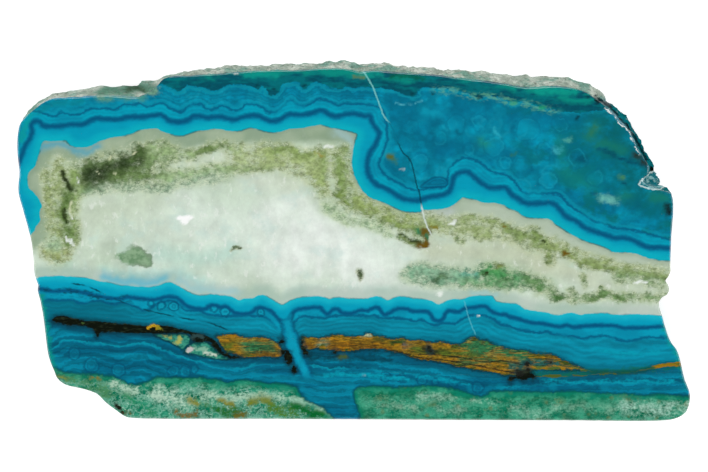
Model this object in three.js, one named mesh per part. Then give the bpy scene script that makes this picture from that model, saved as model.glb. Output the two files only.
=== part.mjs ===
// A polished slab of banded chrysocolla in chalcedony, lying on its sawn back.
// Millimetres, +Z up. The polished face looks up, the sawn foot faces -Y and the
// natural rind +Y. The origin is the middle of the slab's box, on the surface it lies on.
import * as THREE from "three";
import { ImprovedNoise } from "three/addons/math/ImprovedNoise.js";
import { mergeVertices } from "three/addons/utils/BufferGeometryUtils.js";

// Driving dimensions.
const THICKNESS = 6.4; // a quarter-inch saw cut
const EDGE_BREAK = 0.25; // the arris that grinding takes off both faces
const FLARE_REACH = 0.62; // share of the thickness over which the flank spreads, measured down from the face
const RIM_SAMPLES = 340;
const FLANK_STEPS = 7;

// Roughness of the flank, as a share of how far it flares there, over a saw mark that is everywhere.
const LUMP = { share: 0.2, perMillimetre: 0.38 };
const GRAIN = { share: 0.13, perMillimetre: 1.15 };
const SAW_MARK = 0.04;

const STONE = { color: 0x0787a3, roughness: 0.22, metalness: 0 };

// The rim of the polished face, clockwise from the lower left corner seen from above.
// Each point is [x, y, flare]: flare is how far the flank below stands outside the rim.
// The left end is weathered smooth and nearly square to the face.
const WORN_END = [
  [-34.2, -26.4, 0], [-36.1, -25.1, 0], [-37.6, -23.9, 0], [-38.3, -23.1, 0],
  [-39.6, -22.5, 0], [-41.5, -22.0, 0], [-43.2, -21.6, 0], [-44.4, -20.8, 0],
  [-45.1, -19.3, 0], [-45.8, -17.4, 0], [-46.6, -11.5, 0], [-47.0, -9.2, 0],
  [-47.5, -7.2, 0], [-47.4, -6.5, 0], [-47.9, -5.2, 0], [-48.1, -2.7, 0],
  [-48.4, -0.1, 0], [-49.2, 3.0, 0], [-49.9, 5.5, 0], [-50.4, 7.6, 0],
  [-50.2, 10.3, 0], [-50.5, 13.0, 0], [-50.5, 15.6, 0], [-50.1, 17.5, 0.3],
  [-49.0, 18.8, 0.9],
];
// The upper side is the rough outside of the vein, which spreads towards the back.
const NATURAL_RIND = [
  [-47.4, 20.2, 1.1], [-45.6, 21.2, 1.1], [-43.8, 21.4, 1.2], [-41.1, 21.5, 1.7],
  [-38.5, 21.7, 1.9], [-35.1, 21.6, 1.9], [-32.4, 21.4, 2.3], [-30.8, 22.1, 2.4],
  [-29.5, 23.2, 1.6], [-28.2, 24.5, 0.8], [-24.6, 24.8, 1.1], [-21.1, 25.0, 1.3],
  [-13.8, 25.5, 1.4], [-8.1, 25.6, 1.3], [-5.1, 25.8, 1.4], [-1.2, 25.8, 1.4],
  [0.9, 25.2, 1.8], [2.4, 25.5, 1.6], [5.4, 25.3, 1.6], [8.7, 25.1, 1.5],
  [12.9, 24.8, 1.3], [16.3, 24.3, 1.8], [22.6, 23.5, 1.8], [25.6, 22.9, 2.2],
  [30.3, 23.1, 1.9], [32.9, 22.8, 1.8], [35.4, 21.8, 2.0],
];
// The upper right shoulder is broken off in shell-shaped chips.
const BROKEN_SHOULDER = [
  [37.6, 20.2, 1.4], [38.9, 18.9, 1.8], [40.2, 17.3, 2.0], [41.4, 16.0, 1.3],
  [42.0, 14.7, 1.5], [43.0, 13.1, 1.3], [44.1, 11.4, 1.4], [44.2, 10.5, 1.8],
  [43.1, 8.8, 3.3], [44.7, 7.9, 2.8], [46.2, 7.4, 1.9], [47.5, 7.2, 0.6],
];
// The right end is cut square, with a notch where the chalcedony has come away.
const NOTCHED_END = [
  [47.9, 6.0, 0], [47.9, 4.3, 0], [47.6, 0.1, 0], [47.5, -3.3, 0],
  [47.4, -5.1, 0], [46.7, -5.9, 0], [47.3, -6.9, 0], [47.2, -7.9, 0],
  [46.2, -8.5, 0], [45.7, -9.4, 0], [46.1, -10.7, 0], [46.9, -13.5, 0],
  [47.5, -15.1, 0], [48.5, -16.4, 0], [49.0, -18.1, 0], [49.6, -20.7, 0],
  [50.4, -22.8, 0], [50.4, -24.1, 0], [49.8, -25.7, 0], [48.4, -26.6, 0],
];
// The foot is one straight saw cut.
const SAWN_FOOT = [
  [46.8, -26.9, 0], [30.0, -26.9, 0], [-12.0, -26.7, 0], [-32.4, -26.6, 0],
];

const noise = new ImprovedNoise();

// Evenly spaced points {x, y, flare, nx, ny} round the rim, anticlockwise, with the outward normal.
function rimPoints() {
  const sides = [WORN_END, NATURAL_RIND, BROKEN_SHOULDER, NOTCHED_END, SAWN_FOOT];
  const corners = sides.flat().map((point) => new THREE.Vector3(...point));
  const curve = new THREE.CatmullRomCurve3(corners.reverse(), true, "centripetal");
  curve.arcLengthDivisions = RIM_SAMPLES * 8;
  const points = curve.getSpacedPoints(RIM_SAMPLES).slice(0, RIM_SAMPLES);
  return points.map(({ x, y, z }, i) => {
    const before = points.at(i - 1);
    const after = points[(i + 1) % RIM_SAMPLES];
    const along = new THREE.Vector2(after.x - before.x, after.y - before.y).normalize();
    return { x, y, flare: Math.max(0, z), nx: along.y, ny: -along.x };
  });
}

// How far the flank stands outside the rim at a height: it rounds over from the face to the
// full flare, then drops square to the back, with lumps and grain on the rind and the breaks.
function flankOffset(point, height) {
  const depth = (THICKNESS - height) / (THICKNESS * FLARE_REACH);
  const spread = Math.sin((Math.min(depth, 1) * Math.PI) / 2);
  const rough = (scale) => noise.noise(point.x * scale, point.y * scale, height * scale);
  const relief = LUMP.share * rough(LUMP.perMillimetre) + GRAIN.share * rough(GRAIN.perMillimetre);
  return point.flare * spread * (1 + relief) + SAW_MARK * rough(GRAIN.perMillimetre);
}

// One ring of the flank at a height, moved outwards by the flank's offset less an inset.
function ring(points, height, inset) {
  return points.map((point) => {
    const out = flankOffset(point, height) - inset;
    return [point.x + point.nx * out, point.y + point.ny * out, height];
  });
}

// The slab: rings from the sawn back up to the polished face, closed by the two flat faces.
function slabGeometry() {
  const points = rimPoints();
  const rings = [ring(points, 0, EDGE_BREAK)];
  for (let step = 0; step <= FLANK_STEPS; step++) {
    const share = step / FLANK_STEPS;
    const height = EDGE_BREAK + (THICKNESS - 2 * EDGE_BREAK) * share;
    rings.push(ring(points, height, 0));
  }
  rings.push(ring(points, THICKNESS, EDGE_BREAK));

  const index = [];
  for (let level = 0; level < rings.length - 1; level++) {
    for (let i = 0; i < RIM_SAMPLES; i++) {
      const next = (i + 1) % RIM_SAMPLES;
      const lower = level * RIM_SAMPLES;
      const upper = lower + RIM_SAMPLES;
      index.push(lower + i, lower + next, upper + next);
      index.push(lower + i, upper + next, upper + i);
    }
  }
  const flatFace = (outline) =>
    THREE.ShapeUtils.triangulateShape(outline.map(([x, y]) => new THREE.Vector2(x, y)), []);
  const topStart = (rings.length - 1) * RIM_SAMPLES;
  for (const [a, b, c] of flatFace(rings[0])) index.push(a, c, b);
  for (const [a, b, c] of flatFace(rings.at(-1))) index.push(topStart + a, topStart + b, topStart + c);

  const geometry = new THREE.BufferGeometry();
  geometry.setAttribute("position", new THREE.Float32BufferAttribute(rings.flat(2), 3));
  geometry.setIndex(index);
  const closed = mergeVertices(geometry);
  closed.computeBoundingBox();
  const middle = closed.boundingBox.getCenter(new THREE.Vector3());
  closed.translate(-middle.x, -middle.y, 0);
  closed.computeVertexNormals();
  return closed;
}

const slab = new THREE.Mesh(slabGeometry(), new THREE.MeshStandardMaterial(STONE));
slab.name = "slab";

const specimen = new THREE.Group();
specimen.add(slab);

export default specimen;
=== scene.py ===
import math

import bpy
import numpy as np
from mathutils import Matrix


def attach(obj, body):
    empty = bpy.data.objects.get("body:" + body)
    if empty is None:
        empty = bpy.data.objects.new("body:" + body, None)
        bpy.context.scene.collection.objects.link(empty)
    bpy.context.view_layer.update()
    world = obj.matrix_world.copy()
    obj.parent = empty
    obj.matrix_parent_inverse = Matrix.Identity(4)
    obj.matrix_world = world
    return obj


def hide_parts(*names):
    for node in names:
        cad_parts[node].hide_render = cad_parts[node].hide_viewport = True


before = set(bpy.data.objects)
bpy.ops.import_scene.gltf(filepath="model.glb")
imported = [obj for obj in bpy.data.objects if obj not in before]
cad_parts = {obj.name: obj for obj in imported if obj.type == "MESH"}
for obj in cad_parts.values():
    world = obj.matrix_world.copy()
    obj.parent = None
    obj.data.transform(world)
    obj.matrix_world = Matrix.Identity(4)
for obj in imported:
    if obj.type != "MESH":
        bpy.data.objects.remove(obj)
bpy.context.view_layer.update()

# The slab's body: one flat piece sawn from a banded vein, its upper face ground and polished, its back
# left as sawn. The long upper side is the vein's rough outside, the shoulder at its right end is
# broken in chips, and the lower side is a straight saw cut. All lengths below are millimetres.
FACE_HEIGHT = 6.4
CELLS_ALONG = 344
CELLS_ACROSS = 184
FLANK_HEIGHTS = (6.39, 6.36, 6.31, 6.24, 6.15, 5.7, 5.2, 4.7, 4.1, 3.5, 2.8, 2.1, 1.4, 0.8, 0.25)
FLARE_HEIGHTS = (2.5, 6.15)
FULL_FLARE = 1.2
LEAST_FLARE = 0.04
ROUGHNESS_DEPTH = 0.34
ROUGHNESS_STARTS = 0.9
LUMP_SIZE = 1.3
GRAIN_SIZE = 0.55
RIM_STEPS = 4000
LUMP_SINK = 0.8
GRAIN_SHARE = 0.6
LATTICE_SIZE = 32
LEVEL_SLACK = 0.02
MILLIMETRES = 1000.0
FACE_CORNERS = ((-44.8, -20.5), (50.0, -25.8), (36.0, 22.7), (-49.0, 18.5))

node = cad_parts["slab"]
found = np.empty(len(node.data.vertices) * 3)
node.data.vertices.foreach_get("co", found)
turn = np.array(node.matrix_world)
found = MILLIMETRES * (found.reshape(-1, 3) @ turn[:3, :3].T + turn[:3, 3])
levels = np.unique(np.round(found[:, 2], 2))


def level_radius(level, angles):
    """The model's outline at one of its own heights, as the distance from the origin at each angle: the
    model's vertices at that height in order of angle, with straight interpolation between them."""
    at = found[np.abs(found[:, 2] - level) < LEVEL_SLACK]
    turns, first = np.unique(np.round(np.arctan2(at[:, 1], at[:, 0]), 5), return_index=True)
    return np.interp(angles, turns, np.hypot(at[first, 0], at[first, 1]), period=2.0 * np.pi)


def outline_radius(height, angles):
    """The outline at any height: straight interpolation between the model's heights, except in the
    edge break under the face, which is a quarter round instead of a chamfer."""
    above = int(np.clip(np.searchsorted(levels, height), 1, len(levels) - 1))
    low = level_radius(levels[above - 1], angles)
    high = level_radius(levels[above], angles)
    share = (height - levels[above - 1]) / (levels[above] - levels[above - 1])
    if above == len(levels) - 1:
        share = 1.0 - math.sqrt(max(0.0, 1.0 - share * share))
    return low + (high - low) * share


def side_angles(start, end, cells):
    """Angles of evenly spaced points along the face's rim from one angle to another: the rim is walked in
    small steps, and its length inverted by interpolation."""
    angles = np.linspace(start, end, RIM_STEPS + 1)
    radius = outline_radius(FACE_HEIGHT, angles)
    walked = np.stack([radius * np.cos(angles), radius * np.sin(angles)], axis=1)
    length = np.concatenate([[0.0], np.cumsum(np.linalg.norm(np.diff(walked, axis=0), axis=1))])
    return np.interp(np.linspace(0.0, length[-1], cells + 1), length, angles)


def filled_outline(height, sides):
    """A flat sheet between four rim curves: the two straight blends across it added together, less the
    blend of its four corners, which both of them hold."""
    radius = [outline_radius(height, angles) for angles in sides]
    lower, right, upper, left = (
        np.stack([r * np.cos(a), r * np.sin(a)], axis=1) for r, a in zip(radius, sides)
    )
    upper = upper[::-1]
    left = left[::-1]
    u = np.linspace(0.0, 1.0, len(lower))[None, :, None]
    v = np.linspace(0.0, 1.0, len(left))[:, None, None]
    across = (1.0 - v) * lower[None] + v * upper[None]
    along = (1.0 - u) * left[:, None] + u * right[:, None]
    low_corners = (1.0 - u) * lower[0] + u * lower[-1]
    high_corners = (1.0 - u) * upper[0] + u * upper[-1]
    return across + along - (1.0 - v) * low_corners - v * high_corners


def rim_numbers(along, across):
    """Numbers of a sheet's rim vertices, anticlockwise from the lower left: lower, right, upper, left."""
    numbers = np.arange((along + 1) * (across + 1)).reshape(across + 1, along + 1)
    return np.concatenate([numbers[0, :-1], numbers[:-1, -1], numbers[-1, :0:-1], numbers[:0:-1, 0]])


def sheet_faces(along, across):
    """The quads of a sheet of vertices in rows, anticlockwise seen from above."""
    numbers = np.arange((along + 1) * (across + 1)).reshape(across + 1, along + 1)
    corners = (numbers[:-1, :-1], numbers[:-1, 1:], numbers[1:, 1:], numbers[1:, :-1])
    return np.stack(corners, axis=-1).reshape(-1, 4)


lattice = np.random.default_rng(7).random((LATTICE_SIZE,) * 3) * 2.0 - 1.0


def lumps(places, size):
    """Smooth random lumps of about that size, from -1 to 1: random values at the corners of a lattice,
    blended inside each cell by the cubic 3t^2 - 2t^3 along all three axes."""
    steps = places / size
    cell = np.floor(steps).astype(int)
    t = steps - cell
    t = t * t * (3.0 - 2.0 * t)
    total = np.zeros(len(places))
    for corner in np.ndindex(2, 2, 2):
        weight = np.prod(np.where(corner, t, 1.0 - t), axis=1)
        at = (cell + corner) % LATTICE_SIZE
        total += weight * lattice[at[:, 0], at[:, 1], at[:, 2]]
    return total


turns = [math.atan2(y, x) for x, y in FACE_CORNERS]
turns.append(turns[0] + 2.0 * math.pi)
cells = (CELLS_ALONG, CELLS_ACROSS) * 2
fine_sides = [side_angles(start, end, count) for start, end, count in zip(turns, turns[1:], cells)]
coarse_sides = [angles[::2] for angles in fine_sides]
rim_angles = np.concatenate([angles[:-1] for angles in fine_sides])
columns = len(rim_angles)

face = filled_outline(FACE_HEIGHT, fine_sides).reshape(-1, 2)
face = np.column_stack([face, np.full(len(face), FACE_HEIGHT)])
back = filled_outline(0.0, coarse_sides).reshape(-1, 2)
back = np.column_stack([back, np.zeros(len(back))])

# The flank's rows, with lumps and grain where the stone is rind or broken, which is where it flares.
wide_rim, face_rim = (outline_radius(height, rim_angles) for height in FLARE_HEIGHTS)
flare = np.clip((wide_rim - face_rim) / FULL_FLARE, LEAST_FLARE, 1.0)
rim_way = np.column_stack([np.cos(rim_angles), np.sin(rim_angles), np.zeros(columns)])
rows = []
for height in FLANK_HEIGHTS:
    row = outline_radius(height, rim_angles)[:, None] * rim_way + (0.0, 0.0, height)
    depth = ROUGHNESS_DEPTH * flare * min(1.0, (FACE_HEIGHT - height) / ROUGHNESS_STARTS)
    relief = lumps(row, LUMP_SIZE) + GRAIN_SHARE * lumps(row + 40.0, GRAIN_SIZE) - LUMP_SINK
    rows.append(row + (depth * relief)[:, None] * rim_way)
flank = np.concatenate(rows)
spots = np.concatenate([face, flank, back])
on_face = slice(0, len(face))
on_flank = slice(len(face), len(face) + len(flank))
on_back = slice(len(face) + len(flank), len(spots))

ring_numbers = np.arange(len(flank)).reshape(len(rows), columns) + len(face)
ring_numbers = np.concatenate([rim_numbers(CELLS_ALONG, CELLS_ACROSS)[None], ring_numbers])
upper_ring = ring_numbers[:-1]
lower_ring = ring_numbers[1:]
flank_faces = np.stack(
    [lower_ring, np.roll(lower_ring, -1, axis=1), np.roll(upper_ring, -1, axis=1), upper_ring], axis=-1
).reshape(-1, 4)
last = ring_numbers[-1]
first_of_three = last[0::2]
middle_of_three = last[1::2]
last_of_three = np.roll(last, -2)[0::2]
under = rim_numbers(CELLS_ALONG // 2, CELLS_ACROSS // 2) + len(face) + len(flank)
after = np.roll(under, -1)
joint_faces = np.concatenate([
    np.stack([first_of_three, under, middle_of_three], axis=1),
    np.stack([middle_of_three, under, after], axis=1),
    np.stack([middle_of_three, after, last_of_three], axis=1),
])
back_faces = sheet_faces(CELLS_ALONG // 2, CELLS_ACROSS // 2)[:, ::-1] + len(face) + len(flank)
face_faces = sheet_faces(CELLS_ALONG, CELLS_ACROSS)

slab_mesh = bpy.data.meshes.new("banded_slab")
slab_mesh.from_pydata(
    (spots / MILLIMETRES).tolist(),
    [],
    face_faces.tolist() + flank_faces.tolist() + joint_faces.tolist() + back_faces.tolist(),
)
slab_mesh.shade_smooth()
slab = bpy.data.objects.new("banded_slab", slab_mesh)
bpy.context.scene.collection.objects.link(slab)

# The upper chrysocolla: blue silica that grew as a crust from the rind towards the open middle of the
# vein, in bands that follow each other. It ends in a bright cyan band against the chalcedony, behind
# which run two dark lines; the broad lobe at the right is a mass of small rounded growths.
UPPER_CONTACT = (
    (-50, -0.8), (-48.3, 0.9), (-47.9, 1.3), (-47.6, 2), (-47.2, 2.4), (-47, 3), (-47.1, 3.9), (-47, 4.4),
    (-46.75, 5), (-47, 5.7), (-47.5, 6.5), (-48, 7.1), (-48.6, 7.6), (-48.85, 8.3), (-48.9, 9),
    (-48.8, 9.8), (-48.5, 10.3), (-48, 10.7), (-47.7, 11.1), (-47.5, 12), (-47.1, 13.1), (-46.9, 14),
    (-46.6, 14.6), (-46.3, 14.8), (-45.5, 14.7), (-44.5, 14.75), (-43.3, 14.8), (-43, 14.6),
    (-42.5, 14.1), (-41.8, 13.85), (-41, 13.8), (-40, 13.9), (-39.3, 14.1), (-38.6, 14.5), (-38, 14.8),
    (-37.3, 15), (-36.5, 15.2), (-35.5, 15.4), (-34.5, 15.5), (-33.5, 15.8), (-32.5, 16.2),
    (-31.5, 16.45), (-30, 16.65), (-29.4, 16.55), (-28.9, 16.25), (-28, 15.95), (-27, 15.65), (-26, 15.5),
    (-25.3, 15.6), (-24.6, 15.9), (-23.8, 16.2), (-23, 16.3), (-22, 16.45), (-21, 16.6), (-20, 16.55),
    (-19, 16.35), (-18, 16.25), (-17, 16.3), (-16, 16.6), (-15.2, 16.7), (-14.5, 16.55), (-13.5, 16.2),
    (-12.5, 16.05), (-11.8, 16), (-11, 16.1), (-10.3, 16.35), (-9.5, 16.6), (-8.2, 16.65), (-7.3, 16.8),
    (-6.2, 17), (-5, 17.15), (-4.2, 17), (-3.3, 16.75), (-2.5, 16.65), (-1.8, 16.5), (-1, 16.3),
    (-0.4, 16.15), (0.1, 16), (0.5, 15.75), (0.45, 15.4), (0.25, 15), (0.1, 14.3), (-0.1, 13.5),
    (-0.2, 12.6), (-0.3, 11.8), (-0.25, 11), (-0.1, 10.2), (0.1, 9.5), (0.5, 8.7), (0.9, 7.9), (1.4, 7.2),
    (2, 6.6), (2.8, 6.15), (3.8, 5.75), (4.8, 5.4), (5.8, 4.9), (6.6, 4.5), (7.4, 4.25), (8.5, 4.15),
    (10, 4.1), (10.3, 4.4), (11.5, 4.45), (13, 4.55), (14.2, 4.8), (15, 5.2), (15.6, 5.65), (16, 5.95),
    (16.4, 6.3), (16.7, 6.25), (17.2, 6.1), (17.8, 6.05), (18.5, 5.9), (19.3, 5.5), (20, 5.45),
    (20.8, 5.5), (21.8, 5.35), (22.6, 5.15), (23.2, 4.7), (24, 4.4), (24.8, 4), (25.5, 3.5), (26.2, 3.25),
    (27.5, 3.15), (29, 3.15), (29.6, 2.85), (30.2, 2.3), (31, 1.8), (32, 1.15), (33, 0.6), (33.8, 0.2),
    (34.6, -0.25), (35.5, -0.55), (36.5, -0.8), (37.3, -1.1), (38.2, -1.5), (38.8, -1.85), (40, -1.95),
    (41.5, -2), (42.5, -2.15), (43.3, -2.5), (44.2, -2.8), (45, -2.95), (46, -3.15), (47.4, -3.2),
    (50, -3.3),
)
UPPER_LINE = (
    (-51.5, 9), (-50, 12), (-49.6, 13), (-49.2, 14), (-48.6, 15), (-48.2, 16), (-48.4, 17), (-48.1, 17.6),
    (-47.5, 17.7), (-47, 17.5), (-46.7, 17.1), (-46, 16.9), (-45, 16.9), (-44, 16.95), (-43, 17.1),
    (-42.3, 17.2), (-41, 17.2), (-40, 17.5), (-39.3, 17.9), (-38.5, 18.15), (-37.5, 18), (-36.5, 18),
    (-35.5, 17.95), (-34.5, 18.1), (-34, 18.3), (-33, 18.35), (-32, 18.35), (-31, 18.45), (-30, 18.6),
    (-29, 18.7), (-28.5, 18.4), (-27.8, 17.9), (-27, 17.7), (-26, 17.6), (-25.2, 17.75), (-24.5, 18.1),
    (-24, 18.4), (-23, 18.4), (-22, 18.2), (-21, 18.3), (-20, 18.4), (-19.3, 18.2), (-18.3, 17.95),
    (-17.5, 18), (-16.8, 18.3), (-16, 18.5), (-15, 18.55), (-14, 18.4), (-13.2, 18), (-12.4, 17.75),
    (-11.6, 17.75), (-10.8, 18.1), (-10.2, 18.5), (-9.5, 18.8), (-9, 18.75), (-8, 18.65), (-7, 18.75),
    (-6.2, 18.9), (-5.4, 19.25), (-4.8, 19.3), (-4.2, 19.1), (-3.7, 18.75), (-3, 18.5), (-2.2, 18.45),
    (-1.4, 18.7), (-0.6, 18.85), (0.3, 18.8), (1, 18.65), (1.6, 18.5), (2.2, 18.55), (2.55, 18.4),
    (2.6, 18), (2.8, 17.4), (3.2, 16.8), (3.6, 16.3), (3.85, 15.9), (3.7, 15.3), (3.4, 14.6), (3, 13.9),
    (2.5, 13.2), (2.2, 12.5), (2, 11.7), (2, 11), (2.1, 10.2), (2.3, 9.5), (2.8, 8.8), (3.5, 8.2),
    (4.3, 7.8), (5.2, 7.4), (6, 6.9), (6.8, 6.4), (7.6, 6.05), (8.5, 5.9), (9.5, 5.85), (10.5, 6.05),
    (11.5, 6.35), (12.5, 6.5), (13.5, 6.7), (14.2, 7.05), (14.6, 7.6), (14.8, 8.3), (14.9, 9),
    (15.2, 9.6), (15.7, 9.95), (16.4, 10.1), (17.2, 10.05), (17.8, 9.6), (18.3, 9.1), (18.9, 8.6),
    (19.6, 8.1), (20.4, 7.75), (21.3, 7.65), (22.2, 7.75), (22.8, 7.7), (23.3, 7.2), (23.8, 6.6),
    (24.6, 6.1), (25.4, 5.6), (26.2, 5.35), (27.3, 5.4), (28.5, 5.4), (29.3, 5.5), (30.2, 5.2),
    (30.8, 4.6), (31.5, 3.8), (32.3, 3.2), (33.2, 2.8), (34, 2.3), (34.8, 1.7), (35.6, 1.3), (36.5, 1.1),
    (37.4, 0.75), (38.3, 0.45), (39.2, 0.2), (40.5, 0.2), (41.5, 0), (42.3, -0.35), (43.2, -0.8),
    (44, -1.1), (45, -1.25), (46, -1.25), (47.5, -1.3), (50, -1.4),
)
UPPER_LINE_BEHIND = (
    (-49.5, 19.5), (-47.5, 19.2), (-45.8, 18.7), (-45.2, 18.5), (-44.5, 18.7), (-44, 19.2), (-43.3, 19),
    (-42.5, 18.75), (-41.5, 18.75), (-40.6, 19), (-39.8, 19.5), (-38.8, 19.6), (-37.8, 19.6), (-37, 19.7),
    (-36.4, 19.45), (-35.8, 19.45), (-35, 19.8), (-34.4, 20.1), (-33, 20.2), (-32, 20.4), (-31.5, 20.2),
    (-31, 19.85), (-30.3, 20), (-29.5, 20.3), (-28.7, 20.4), (-28.1, 20.2), (-27.6, 19.7), (-27, 19.4),
    (-26.3, 19.1), (-25.6, 19.2), (-25.1, 19.6), (-24.5, 20), (-24, 20.25), (-23.2, 20.3), (-22.7, 20.1),
    (-22.3, 19.7), (-21.5, 19.5), (-20.6, 19.7), (-19.8, 20.1), (-19, 19.9), (-18.3, 19.4), (-17.5, 19.3),
    (-16.8, 19.6), (-16.3, 20.2), (-15.7, 20.3), (-15, 20.1), (-14.2, 20), (-13.5, 19.7), (-13, 19.2),
    (-12.3, 19), (-11.5, 19.1), (-10.8, 19.6), (-10.3, 20), (-9.8, 20.6), (-9.3, 20.8), (-8.8, 20.3),
    (-8, 20), (-7.2, 20.05), (-6.5, 20.4), (-5.8, 20.8), (-5.2, 21.1), (-4.8, 20.9), (-4, 20.7),
    (-3.2, 20.5), (-2.5, 20.1), (-2, 20.1), (-1, 20.4), (0, 20.3), (1.5, 20.2), (3, 20.1), (4, 19.6),
    (4.6, 18.5), (4.9, 16.5), (5, 15), (4.5, 13.5), (4, 12.2), (3.8, 11.4), (4, 10.6), (4.6, 9.8),
    (5.6, 9), (6.6, 8.5), (7.6, 7.95), (8.6, 7.5), (9.7, 7.3), (11, 7.6), (12.5, 7.75), (13.6, 7.9),
    (14, 8.6), (14.2, 9.6), (14.3, 10.6), (15, 11.4), (16, 12.1), (17, 12.2), (18.3, 11.9), (19.2, 11.3),
    (20.2, 10.4), (21.2, 9.95), (22.4, 9.85), (23.3, 9.4), (24.2, 8.5), (25, 7.4), (26, 6.95),
    (27.5, 6.85), (29.5, 6.8), (30.6, 6.8), (31.4, 6.2), (32.2, 5.3), (33.3, 4.4), (34.6, 3.6),
    (35.8, 2.8), (37.2, 2.4), (38.5, 1.95), (40, 1.6), (42, 1.35), (44, 0.85), (46, 0.4), (48, 0),
    (50.5, -0.4),
)
DARK_TOP_EDGE = (
    (-46, 23.5), (-38, 23.6), (-29.5, 23.3), (-28, 23), (-27, 22.4), (-26.3, 22.2), (-25.5, 22.6),
    (-24.8, 23.1), (-23.5, 22.9), (-22, 22.6), (-20.8, 22.3), (-19.8, 22.7), (-18.8, 23.2), (-17.5, 23.3),
    (-16.2, 23.2), (-15.2, 22.8), (-14.4, 22.5), (-13.8, 23), (-13.2, 22.7), (-12.8, 21.9), (-12, 21.7),
    (-11.2, 22.2), (-10.8, 23), (-10.3, 23.4), (-9.3, 23.5), (-8.3, 23.5), (-8, 22.8), (-7.4, 22.5),
    (-6.8, 22.8), (-6.2, 23.4), (-5.2, 23.5), (-4.2, 23), (-3.2, 22.7), (-2, 22.7), (-1, 22.9),
    (-0.2, 22.6), (0.8, 22.8), (2, 22.9), (3, 22.7), (4, 22.7), (5, 22.5), (6.2, 22.3), (7, 22),
    (8, 21.7), (8.8, 21.4), (9.5, 21.7), (9.9, 22.4), (10.3, 22.7), (11.2, 22.7), (12.5, 22.7),
    (14, 22.6), (15.5, 22.4), (16.8, 22.1), (17.8, 21.6), (18.6, 21.2), (19.5, 21.5), (21, 21.4),
    (22.3, 21.2), (23.5, 20.6), (24.2, 20.3), (25, 20.8), (26, 20.6), (27, 20.4), (28, 19.9), (29, 19.7),
    (30, 19.5), (31.5, 19.2), (33, 19), (35, 19), (37, 19.4), (38.3, 19.6), (42, 20),
)

BLOCK = 4000
SPAN_SAMPLES = 5
BAND_LEAN = (0.05, -0.16)


def smooth_path(points, closed=False):
    """A curve through the points: between two of them, the cubic whose slope at each end is half the step
    between that end's neighbours."""
    at = np.array(points, float)
    if closed:
        at = np.concatenate([at[-1:], at, at[:2]])
    else:
        at = np.concatenate([2.0 * at[:1] - at[1:2], at, 2.0 * at[-1:] - at[-2:-1]])
    before, start, end, after = at[:-3, None], at[1:-2, None], at[2:-1, None], at[3:, None]
    t = np.linspace(0.0, 1.0, SPAN_SAMPLES, endpoint=False)[None, :, None]
    curve = 0.5 * (
        2.0 * start
        + (end - before) * t
        + (2.0 * before - 5.0 * start + 4.0 * end - after) * t ** 2
        + (3.0 * start - before - 3.0 * end + after) * t ** 3
    ).reshape(-1, 2)
    return curve if closed else np.concatenate([curve, at[-2:-1]])


def side_distance(places, points, closed=False):
    """How far each place lies from a curve through the points, positive on the left of its direction: the
    nearest sample is found, and the place projected on the curve's tangent there. The places are taken in
    blocks to spare memory."""
    curve = smooth_path(points, closed)
    tangent = np.roll(curve, -1, axis=0) - np.roll(curve, 1, axis=0)
    if not closed:
        tangent[0] = 2.0 * (curve[1] - curve[0])
        tangent[-1] = 2.0 * (curve[-1] - curve[-2])
    reach = np.linalg.norm(tangent, axis=1) / 4.0
    tangent /= np.maximum(np.linalg.norm(tangent, axis=1), 1e-9)[:, None]
    distance = np.empty(len(places))
    for start in range(0, len(places), BLOCK):
        some = places[start:start + BLOCK]
        apart = (some ** 2).sum(axis=1)[:, None] - 2.0 * some @ curve.T + (curve ** 2).sum(axis=1)[None]
        near = np.argmin(apart, axis=1)
        offset = some - curve[near]
        along = (offset * tangent[near]).sum(axis=1)
        rest = offset - tangent[near] * np.clip(along, -reach[near], reach[near])[:, None]
        side = np.sign(tangent[near, 0] * offset[:, 1] - tangent[near, 1] * offset[:, 0])
        distance[start:start + BLOCK] = side * np.linalg.norm(rest, axis=1)
    return distance


def keep(name, values):
    """Stores one value for each vertex of the slab, for its material to read."""
    layer = slab_mesh.attributes.new(name, "FLOAT", "POINT")
    layer.data.foreach_set("value", np.ascontiguousarray(values, dtype=np.float32))


# The bands lean a little through the thickness, so the pattern is looked up along that lean.
lean = spots[:, :2] + (FACE_HEIGHT - spots[:, 2:]) * np.array(BAND_LEAN)
keep("upper_contact", side_distance(lean, UPPER_CONTACT))
keep("upper_line", side_distance(lean, UPPER_LINE))
keep("upper_behind", side_distance(lean, UPPER_LINE_BEHIND))
keep("dark_top", side_distance(lean, DARK_TOP_EDGE))

stone = bpy.data.materials.new("banded_stone")
stone.use_nodes = True
tree = stone.node_tree
surface = tree.nodes["Principled BSDF"]
slab_mesh.materials.append(stone)


class Amount:
    """A value that a shader node gives at every point of the stone. Arithmetic on it adds a node."""

    def __init__(self, socket):
        """Holds the output of the node."""
        self.socket = socket

    def __add__(self, other):
        """This plus the other."""
        return sums("ADD", self, other)

    def __radd__(self, other):
        """A plain number plus this."""
        return sums("ADD", other, self)

    def __sub__(self, other):
        """This less the other."""
        return sums("SUBTRACT", self, other)

    def __rsub__(self, other):
        """A plain number less this."""
        return sums("SUBTRACT", other, self)

    def __mul__(self, other):
        """This times the other."""
        return sums("MULTIPLY", self, other)

    def __truediv__(self, other):
        """This divided by the other."""
        return sums("DIVIDE", self, other)

    def __abs__(self):
        """This without its sign."""
        return sums("ABSOLUTE", self)


def fill(socket, value):
    """Links an input to another node's output, or sets it to a number or a colour as painted."""
    if isinstance(value, Amount):
        tree.links.new(value.socket, socket)
    elif isinstance(value, bpy.types.NodeSocket):
        tree.links.new(value, socket)
    elif isinstance(value, tuple):
        socket.default_value = tint(*value)
    else:
        socket.default_value = value


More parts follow.
